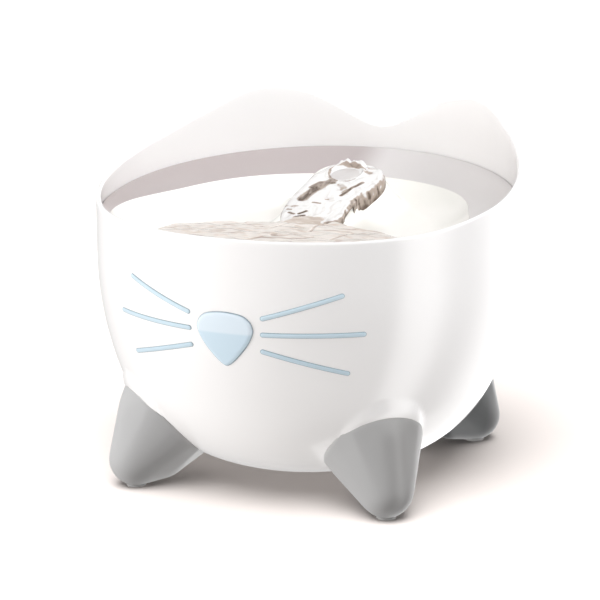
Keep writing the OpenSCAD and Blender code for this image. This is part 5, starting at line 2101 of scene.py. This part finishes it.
@dataclass
class WaterBlob(ABC):
    """A body of water that lies on the dish inside a smooth outline, domed at its edge."""

    name: str
    finish: Finish
    outline: tuple[Point2, ...]
    heart: Point2
    folds: tuple[Fold, ...]
    edge_w: float
    edge_dark: float
    line_w: float = 1.2
    # The outline's dark line of painted shade fades in over these millimetres from open_y to the back,
    # because in front of it the water runs on into the next body.
    open_y: float = -200.0
    open_w: float = 4.0
    # How high the water's edge stands over the dish, and how deep a full fold is.
    lift: float = 0.1
    fold_depth: float = 0.35
    rings: int = 110
    steps: int = 320

    @abstractmethod
    def level(self, x: float, y: float) -> float:
        """Height of the water's top away from its edge."""

    @abstractmethod
    def extra_dark(self, x: float, y: float, gap: float) -> float:
        """Darkness besides the folds and the thin line at the edge."""

    def build(self) -> None:
        """Makes the water's piece."""
        heart = Vector(self.heart)
        reach = reach_of(smooth_loop(self.outline, 8), heart, self.steps)
        bm = disc(self.rings, self.steps)
        layer = bm.verts.layers.float.new(EDGE)
        for vert in bm.verts:
            p, gap = fanned(vert.co, heart, reach)
            dark = max(fold.at(p.x, p.y) for fold in self.folds)
            ground = BASIN.height(p.x, p.y) + self.lift
            level = self.level(p.x, p.y) - self.fold_depth * dark
            z = ground + (max(level, ground) - ground) * rounded(gap, self.edge_w)
            vert.co = Vector((p.x, p.y, z))
            closed = smooth(self.open_y - self.open_w, self.open_y, p.y)
            line = self.edge_dark * (1 - smooth(0.0, self.line_w, gap)) * closed
            # The attribute carries the painted shade of the folds, the outline's line and the other dark
            # marks.
            vert[layer] = max(dark, line, self.extra_dark(p.x, p.y, gap))
        base = close_back(bm, lambda co: co - Vector((0, 0, self.lift)))
        bmesh.ops.poke(bm, faces=base)
        face_out(bm)
        add_piece(self.name, bm, self.finish, Body.DISH, crease=180)


@dataclass(frozen=True)
class SpoutMouth:
    """The calm water over the spout's mouth: an oval that the flow draws forward."""

    narrow: float = 0.92
    long: float = 1.12
    forward: float = 1.2

    def away(self, x: float, y: float) -> float:
        """Distance of a point from the oval's middle, counted as if the oval were round."""
        return math.hypot(x / self.narrow, (y - BASIN.spout_y + self.forward) / self.long)


MOUTH = SpoutMouth()


@dataclass
class Tongue(WaterBlob):
    """The thick tongue of water that wells over the spout and runs down the hill."""

    # Height of the tongue's top along its middle.
    run: tuple[Point2, ...] = (
        (-15, 132.7), (-5, 133.6), (5, 135.6), (16, 138.3), (30, 141.3),
        (40, 143.6), (47, 145.4), (53, 146.9), (60, 148.0), (66, 147.2),
    )
    mouth_r: float = 8.4
    # How deep the calm water lies in the mouth, and how high the lip around it stands.
    mouth_depth: float = 0.4
    lip: float = 0.7
    # The crest that wells up behind the mouth.
    crest: float = 4.4
    crest_x: float = -1.0
    crest_y: float = 64.5
    crest_w: float = 2.6
    # The dark band of painted shade along the right side.
    band_x: float = 8.0
    band_dark: float = 0.92

    def level(self, x: float, y: float) -> float:
        """Height of the water's top away from its edge.

        Args:
            x: Distance to the right.
            y: Distance to the back.

        Returns:
            The height.
        """
        lumps = 0.9 * ripple(x / 8, y / 14, 3.1) + 0.35 * ripple(x / 3.5, y / 6, 8.4)
        across, along = smooth(10, 5, abs(x - self.crest_x)), (y - self.crest_y) / self.crest_w
        crest = self.crest * math.exp(-(along**2)) * across * (0.75 + 0.5 * ripple(x / 2.4, y / 2.4, 4.0))
        away = MOUTH.away(x, y) - self.mouth_r
        calm = 1 - smooth(0, 2.2, away)
        lip = self.lip * smooth(3.6, 1.6, away) * (1 - calm)
        mouth = BASIN.spout_z - self.mouth_depth + BASIN.slope * (y - BASIN.spout_y)
        return blend(lookup(self.run, y) + lumps + crest + lip, mouth, calm)

    def extra_dark(self, x: float, y: float, gap: float) -> float:
        """Darkness besides the folds and the thin line at the edge.

        Args:
            x: Distance to the right.
            y: Distance to the back.
            gap: Distance from the outline.

        Returns:
            The darkness.
        """
        if x < self.band_x:
            return 0.0
        scallop = 0.75 + 0.6 * ripple(x / 2.2, y / 2.6, 6.0)
        band = 1 - smooth(1.2, 3.4, gap + 0.9 * ripple(x / 3, y / 3, 9.0))
        return self.band_dark * scallop * band * smooth(62, 52, y) * smooth(self.band_x, self.band_x + 6, x)


@dataclass
class RipplePool(WaterBlob):
    """The rippling water in the front of the basin."""

    still: float = 132.6
    # Strength of the painted shade on the ripples.
    wave_dark: float = 0.46

    def level(self, x: float, y: float) -> float:
        """Height of the water's top away from its edge."""
        return self.still + 0.7 * ripple(x / 15, y / 6, 1.7) + 0.3 * ripple(x / 5, y / 2.6, 5.2)

    def extra_dark(self, x: float, y: float, gap: float) -> float:
        """Darkness besides the folds and the thin line at the edge."""
        across = ripple(x / 13, y / 4.2, 2.0) + 0.4 * ripple(x / 5, y / 2, 7.0)
        return self.wave_dark * smooth(0.16, 0.46, abs(across))


@dataclass
class SpoutCap:
    """The calm disc of water over the spout's mouth."""

    radius: float = 8.2
    rise: float = 0.5
    depth: float = 1.0

    def build(self) -> None:
        """Makes the cap's piece."""
        turns = [math.pi / 2 * k / 12 for k in range(13)]
        top = [(self.radius * math.sin(a), self.rise * math.cos(a)) for a in turns]
        bm = revolve([*top, (self.radius, -self.depth), (0, -self.depth)], 96)
        bmesh.ops.scale(bm, vec=(MOUTH.narrow, MOUTH.long, 1), verts=bm.verts)
        bmesh.ops.translate(bm, vec=(0, -MOUTH.forward, 0), verts=bm.verts)
        bmesh.ops.transform(bm, matrix=BASIN.mouth, verts=bm.verts)
        add_piece("spout_water_cap", bm, SPOUT_WATER, Body.DISH)


@dataclass
class FountainWater:
    """All the water that shows: the spout's cap, the tongue and the ripples."""

    tongue_folds: tuple[Fold, ...] = (
        Fold(((-3.4, 40.0), (-5.8, 36.2), (-7.6, 30.6), (-9.6, 24.6), (-10.4, 17.3)), 5.0, 0.78),
        Fold(((-1.9, 37.8), (-8.3, 37.0), (-11.0, 31.8)), 3.0, 0.85),
        Fold(((-9.5, 22.0), (-10.6, 15.5)), 3.2, 0.95),
        Fold(((14.1, 41.4), (12.3, 37.3), (10.6, 34.4), (9.8, 29.3), (8.5, 23.8)), 1.5, 0.85),
        Fold(((3.4, 36.0), (6.4, 33.0), (8.6, 28.4)), 3.4, 0.5),
        Fold(((10.5, 55.4), (13.2, 54.4)), 2.6, 0.5),
        Fold(((-7.6, 45.6), (-4.2, 42.4), (0.4, 41.0), (5.2, 42.0), (8.0, 45.2)), 0.9, 0.6),
        Fold(((-5.1, -1.2), (-2.5, 2.1)), 1.5, 1.15),
        Fold(((-5.7, -5.2), (-1.6, -3.0)), 1.4, 1.2),
        Fold(((-3.4, -8.2), (-0.3, -7.5)), 1.3, 1.1),
        Fold(((-3.0, -11.9), (0.6, -12.5)), 1.2, 1.0),
        Fold(((-14.4, 4.9), (-11.8, 4.1)), 1.1, 0.75),
        Fold(((-11.4, 0.3), (-7.7, -1.7)), 1.3, 0.9),
        Fold(((-3.0, 12.9), (1.2, 12.4)), 1.2, 0.9),
        Fold(((2.5, 17.5), (3.6, 17.7)), 1.0, 0.6),
        Fold(((-16.3, 8.1), (-10.1, 8.2)), 1.6, 0.55),
        Fold(((-0.7, 41.5), (-5.5, 44.7), (-8.6, 49.4), (-9.6, 54.5), (-9.0, 58.5)), 1.0, 0.8),
        Fold(((-9.0, 58.5), (-5.0, 62.0), (1.0, 62.8), (6.0, 61.0), (9.0, 58.0)), 1.1, 0.7),
        Fold(((-11.8, 66.0), (-6.7, 66.8)), 1.2, 0.5),
        Fold(((10.5, 59.5), (15.0, 60.0)), 1.0, 0.5),
        Fold(((12.1, -9.2), (17.0, -6.2), (19.0, -3.8)), 1.2, 0.7),
        Fold(((-16.5, -9.0), (-17.2, 5.0)), 1.0, 0.8),
    )
    pool_folds: tuple[Fold, ...] = (
        Fold(((-62, -50), (-60, -38), (-50, -28.6), (-36, -21.6), (-26, -18), (-12, -13)), 1.6, 0.6),
        Fold(((-40, -48.7), (-32, -48.1), (-24, -47.4), (-20, -43.5)), 1.6, 0.5),
        Fold(((-11, -54.3), (-5.7, -49), (1.7, -49.4), (13.4, -44.8), (17.7, -39.6)), 1.8, 0.75),
        Fold(((-2.7, -41.5), (-1.5, -43.5)), 2.6, 0.75),
        Fold(((12.2, -28.5), (10.7, -16.9), (12.4, -8.7)), 1.1, 0.7),
        Fold(((28.2, -41.4), (31.2, -35.5), (33.5, -27.5), (33.8, -22.6)), 1.2, 0.75),
        Fold(((30.4, -16.6), (34.6, -17.0), (42.9, -17.4), (49.3, -18.6)), 1.2, 0.6),
        Fold(((1.2, -20.6), (5.9, -21.2)), 1.2, 0.6),
        Fold(((-26.9, -21.5), (-18.4, -28.2), (-9.4, -29.6), (-5.8, -18.3), (-5.2, -13.1)), 1.1, 0.45),
        Fold(((-60.4, -46.9), (-51.8, -41.1), (-42.7, -42.5), (-37.5, -35.6)), 1.5, 0.5),
    )

    def build(self) -> None:
        """Makes the water's pieces."""
        SpoutCap().build()
        Tongue(
            "water_tongue",
            RUNNING_WATER,
            outline=(
                (18.5, -4), (18.3, 6), (18, 16), (18.8, 26), (20.8, 34), (22.7, 42), (23, 50), (21, 58),
                (16, 64.5), (9, 68), (0, 69), (-7, 68), (-11.5, 62.5), (-15, 51), (-17.6, 37), (-18.6, 21),
                (-16.9, 6), (-14, -5), (-10, -12), (0, -15), (12, -12),
            ),
            heart=(1.5, 28.0),
            folds=self.tongue_folds,
            edge_w=5.0,
            edge_dark=0.85,
            open_y=-5.0,
        ).build()
        RipplePool(
            "water_ripples",
            RIPPLED_WATER,
            outline=(
                (54, -20), (43, -15), (35, -13), (27, -9), (22, -5), (8, -2), (-10, -6), (-12, -11),
                (-16, -14), (-26, -17), (-30, -21), (-36, -20.6), (-43, -24), (-50, -27.5), (-58, -34),
                (-62, -42), (-64, -52), (-58, -66), (-42, -80), (-18, -89.5), (10, -91), (36, -84),
                (56, -70), (66, -52), (65, -34),
            ),
            heart=(0.0, -48.0),
            folds=self.pool_folds,
            edge_w=2.4,
            edge_dark=0.5,
        ).build()


# ---- carried-over parts ----


# What each CAD part that keeps its shape is made of.
INNER_PARTS: dict[Finish, tuple[str, ...]] = {
    PAD_RUBBER: ("foot_pads",),
    GREY_RUBBER: ("suction_cups", "inlet_gasket"),
    BLACK_RUBBER: ("nose_gasket", "inlet_boot", "pump_lead", "lamp_lead", "outlet_seal"),
    PLATED_STEEL: ("foot_screws", "lamp_screws", "inlet_pin", "inlet_nut"),
    GLOSS_WHITE_ABS: ("lamp_housing", "lead_clips"),
    SOLDER_MASK: ("lamp_board",),
    GROUND_CERAMIC: ("lamp_chip", "pump_shaft"),
    BLACK_NYLON: ("power_inlet",),
    DARK_PUMP_PLASTIC: ("pump_body", "motor_cap", "volute_cover", "strainer_cover"),
    STEEL_SHEETS: ("stator_core",),
    COPPER_WINDING: ("stator_coil",),
    MILKY_POLYPROPYLENE: ("impeller", "filter_tray", "cartridge_frame", "cartridge_lid"),
    PRESSED_FERRITE: ("rotor_magnet",),
    OPEN_FOAM: ("prefilter_foam",),
    CLEAR_ACRYLIC: ("riser_tube",),
    CARBON_GRAINS: ("cartridge_carbon",),
    NEEDLED_FELT: ("cartridge_felt",),
}


def dress(nodes: dict[str, Object]) -> None:
    """Gives each CAD part that keeps its shape its finish.

    Args:
        nodes: The CAD nodes by name.
    """
    for finish, names in INNER_PARTS.items():
        for name in names:
            mesh = nodes[name].data
            mesh.materials.clear()
            mesh.materials.append(finish.material())
            log.info("%s: %s", name, finish.name)


# ---- studio ----


class Lit(Enum):
    """What a light reaches, as if flags stood between it and the rest."""

    OBJECT = "the object"
    BOWL = "the object but its feet"
    FLOOR = "the floor"


@dataclass(frozen=True)
class StudioLight(ABC):
    """One soft light: what it reaches, where it stands as seen from the camera, its power and its colour."""

    name: str
    lit: Lit
    # Degrees to the viewer's right of the camera, and degrees up.
    bearing: float
    lift: float
    power: float
    colour: str = "#ffffff"
    # Metres from the point it aims at, and that point with X to the viewer's right and Y away.
    distance: float = 2.2
    aim: tuple[float, float, float] = (0.0, 0.0, 0.08)

    @abstractmethod
    def lamp(self) -> Light:
        """Makes the light's data, without its power and colour."""

    def build(self, camera_azimuth: float, floor: Object, feet: Sequence[Object]) -> None:
        """Makes the light.

        Args:
            camera_azimuth: The camera's own angle about the object, in degrees.
            floor: The floor, which the light reaches alone or not at all.
            feet: The feet, which some lights leave out.
        """
        data = self.lamp()
        data.energy = self.power
        data.color = linear(self.colour)[:3]
        lamp = bpy.data.objects.new(self.name, data)
        plan, lift = towards(camera_azimuth + self.bearing), math.radians(self.lift)
        away = Vector((*(plan * math.cos(lift)), math.sin(lift)))
        aim = turned("Z", camera_azimuth) @ Vector(self.aim)
        lamp.location = aim + away * self.distance
        lamp.rotation_euler = (-away).to_track_quat("-Z", "Y").to_euler()
        lamp.visible_glossy = False
        bpy.context.scene.collection.objects.link(lamp)
        reach = bpy.data.collections.new(f"{self.name}_reach")
        for piece in (floor, *(feet if self.lit is Lit.BOWL else ())):
            reach.objects.link(piece)
        for member in reach.collection_objects:
            member.light_linking.link_state = "INCLUDE" if self.lit is Lit.FLOOR else "EXCLUDE"
        lamp.light_linking.receiver_collection = reach


@dataclass(frozen=True)
class Softbox(StudioLight):
    """A softbox, with its size in metres."""

    size: tuple[float, float] = (1.3, 1.0)

    def lamp(self) -> Light:
        """Makes the light's data.

        Returns:
            The light's data.
        """
        data = bpy.data.lights.new(self.name, "AREA")
        data.shape = "RECTANGLE"
        data.size, data.size_y = self.size
        return data


@dataclass(frozen=True)
class Snoot(StudioLight):
    """A lamp in a snoot, which lights a round patch with a soft edge."""

    # Angle of the whole beam, and the lamp's radius in metres.
    beam: float = 8.0
    radius: float = 0.2

    def lamp(self) -> Light:
        """Makes the light's data.

        Returns:
            The light's data.
        """
        data = bpy.data.lights.new(self.name, "SPOT")
        data.spot_size = math.radians(self.beam)
        data.spot_blend = 1.0
        data.shadow_soft_size = self.radius
        return data


@dataclass(frozen=True)
class BrightCeiling(StudioLight):
    """A wide, far panel, which lights a floor evenly however far it runs."""

    # Angle that the panel fills.
    width: float = 45.0

    def lamp(self) -> Light:
        """Makes the light's data.

        Returns:
            The light's data.
        """
        data = bpy.data.lights.new(self.name, "SUN")
        data.angle = math.radians(self.width)
        return data


@dataclass
class Studio:
    """Pale floor, soft lights, the surround and the camera."""

    camera_distance: float = 1261.8
    camera_height: float = 415.78
    camera_azimuth: float = 22.18
    pitch: float = 14.544
    yaw: float = -0.221
    roll: float = -0.264
    lens: float = 149.34
    sensor: float = 36.0
    clip: tuple[float, float] = (0.05, 60.0)
    floor_size: float = 30.0
    # The surround's strength from straight down (-1) to straight up (1), and its colour at the ends.
    strengths: tuple[Point2, ...] = ((-1.0, 0.08), (-0.5, 0.28), (0.0, 0.25), (1.0, 0.2))
    low_colour: str = "#fff9f6"
    high_colour: str = "#ffffff"
    # What gloss reflects: an even glow, and panels. For each panel, the bearings where it starts, is
    # full, begins to fade and is gone, and its strength.
    glow: float = 0.6
    panels: tuple[tuple[float, float, float, float, float], ...] = (
        (44, 56, 68, 86, 3.0),
        (94, 122, 170, 176, 1.6),
    )
    lights: tuple[StudioLight, ...] = (
        Softbox("key_left", Lit.OBJECT, -76, -3, 31),
        Softbox("high_left", Lit.OBJECT, -70, 40, 9, "#f6faff"),
        Softbox("high_right", Lit.BOWL, 74, 40, 20, "#f4f9ff"),
        Softbox("mid_right", Lit.OBJECT, 62, 34, 6),
        Softbox("overhead", Lit.OBJECT, 12, 80, 20),
        Softbox("low_left", Lit.BOWL, -70, -22, 13),
        Softbox("low_front", Lit.BOWL, 17, -42, 13.5),
        Softbox("low_right", Lit.BOWL, 90, -22, 11),
        Snoot("inner_wall", Lit.OBJECT, -4, 45, 275, "#f4f9ff", aim=(-0.045, 0.1, 0.2), beam=7.4),
        BrightCeiling("floor_light", Lit.FLOOR, -14, 70, 8.4, width=62),
    )

    def floor(self) -> Object:
        """Makes the floor.

        Returns:
            The floor's object.
        """
        bm = bmesh.new()
        bmesh.ops.create_grid(bm, x_segments=8, y_segments=8, size=self.floor_size / 2)
        mesh = bpy.data.meshes.new("studio_floor")
        bm.to_mesh(mesh)
        bm.free()
        mesh.materials.append(FLOOR_PAPER.material())
        floor = bpy.data.objects.new("studio_floor", mesh)
        # It throws no light back and hides none of the low lights, so that it can be white while the
        # object's underside stays shaded.
        floor.visible_glossy = False
        floor.visible_diffuse = False
        floor.visible_shadow = False
        bpy.context.scene.collection.objects.link(floor)
        return floor

    def reflected(self, tree: NodeTree) -> NodeSocket:
        """Builds what gloss reflects: an even glow with upright panels to the right and behind.

        Args:
            tree: The surround's node tree.

        Returns:
            The brightness by direction.
        """
        way = add_node(tree, "ShaderNodeTexCoord").outputs["Generated"]
        seen = add_node(
            tree,
            "ShaderNodeVectorRotate",
            {"rotation_type": "Z_AXIS"},
            {"Vector": way, "Angle": -math.radians(self.camera_azimuth)},
        )
        parts = add_node(tree, "ShaderNodeSeparateXYZ", sockets={0: seen.outputs[0]}).outputs
        ahead = add_node(tree, "ShaderNodeMath", {"operation": "MULTIPLY"}, {0: parts[1], 1: -1.0})
        bearing = add_node(
            tree, "ShaderNodeMath", {"operation": "ARCTAN2"}, {0: parts[0], 1: ahead.outputs[0]}
        )
        total: NodeSocket | float = self.glow
        for start, full, fade, gone, strength in self.panels:
            sides = [
                add_node(
                    tree,
                    "ShaderNodeMapRange",
                    SOFTLY,
                    {
                        "Value": bearing.outputs[0],
                        "From Min": math.radians(low),
                        "From Max": math.radians(high),
                        "To Min": first,
                        "To Max": last,
                    },
                ).outputs[0]
                for low, high, first, last in ((start, full, 0.0, strength), (fade, gone, 1.0, 0.0))
            ]
            panel = add_node(tree, "ShaderNodeMath", {"operation": "MULTIPLY"}, dict(enumerate(sides)))
            both = {0: panel.outputs[0], 1: total}
            total = add_node(tree, "ShaderNodeMath", {"operation": "ADD"}, both).outputs[0]
        return total

    def world(self) -> None:
        """Makes the surround: white to the camera, warm and soft as a light, with panels for gloss."""
        world = bpy.data.worlds.new("studio_surround")
        world.use_nodes = True
        tree = world.node_tree
        tree.nodes.clear()
        way = add_node(tree, "ShaderNodeTexCoord").outputs["Generated"]
        height = add_node(tree, "ShaderNodeSeparateXYZ", sockets={0: way}).outputs[2]
        strength: NodeSocket | float = self.strengths[0][1]
        for (start, below), (end, above) in zip(self.strengths, self.strengths[1:]):
            span = {"Value": height, "From Min": start, "From Max": end, "To Max": above - below}
            part = add_node(tree, "ShaderNodeMapRange", sockets=span).outputs[0]
            both = {0: part, 1: strength}
            strength = add_node(tree, "ShaderNodeMath", {"operation": "ADD"}, both).outputs[0]
        span = {"Value": height, "From Min": -1.0, "From Max": 1.0}
        warmth = add_node(tree, "ShaderNodeMapRange", sockets=span).outputs[0]
        tones = {0: warmth, 6: linear(self.low_colour), 7: linear(self.high_colour)}
        colour = add_node(tree, "ShaderNodeMix", COLOURS, tones).outputs[2]
        white = linear("#ffffff")
        lit, gloss, shown = (
            add_node(tree, "ShaderNodeBackground", sockets={"Color": shade, "Strength": power}).outputs[0]
            for shade, power in ((colour, strength), (white, self.reflected(tree)), (white, 1.0))
        )
        rays = add_node(tree, "ShaderNodeLightPath").outputs
        surface = lit
        for ray, other in (("Is Glossy Ray", gloss), ("Is Camera Ray", shown)):
            either = {0: rays[ray], 1: surface, 2: other}
            surface = add_node(tree, "ShaderNodeMixShader", sockets=either).outputs[0]
        add_node(tree, "ShaderNodeOutputWorld", sockets={"Surface": surface})
        bpy.context.scene.world = world

    def camera(self) -> None:
        """Makes the camera at the viewing angle."""
        yaw, pitch, roll = (math.radians(a) for a in (self.yaw, self.pitch, self.roll))
        ahead = Vector((math.sin(yaw) * math.cos(pitch), math.cos(yaw) * math.cos(pitch), -math.sin(pitch)))
        right = Vector((math.cos(yaw), -math.sin(yaw), 0))
        up = right.cross(ahead)
        right, up = right * math.cos(roll) + up * math.sin(roll), up * math.cos(roll) - right * math.sin(roll)
        axes = Matrix((right, up, -ahead)).transposed().to_4x4()
        at = Vector((0, -self.camera_distance, self.camera_height)) * MM
        data = bpy.data.cameras.new("view")
        data.lens, data.sensor_width = self.lens, self.sensor
        data.clip_start, data.clip_end = self.clip
        camera = bpy.data.objects.new("view", data)
        camera.matrix_world = turned("Z", self.camera_azimuth) @ Matrix.Translation(at) @ axes
        bpy.context.scene.collection.objects.link(camera)
        bpy.context.scene.camera = camera

    def build(self) -> None:
        """Makes the studio."""
        floor = self.floor()
        self.world()
        self.camera()
        feet = [piece for piece in bpy.data.objects if piece.name.startswith(tuple(FEET))]
        for light in self.lights:
            light.build(self.camera_azimuth, floor, feet)
        scene = bpy.context.scene
        scene.view_settings.view_transform = "Standard"
        scene.view_settings.look = "None"
        scene.cycles.use_denoising = True


def main() -> None:
    """Builds the dressed fountain and its studio."""
    logging.basicConfig(level=logging.INFO, format="%(name)s: %(message)s")
    Bowl().build()
    for name, angle in FEET.items():
        PawFoot(name, angle).build()
    Face().build()
    DrinkingDish().build()
    Collar().build()
    SpoutRing().build()
    FountainWater().build()
    dress(frame["nodes"])
    Studio().build()


if __name__ == "__main__":
    main()
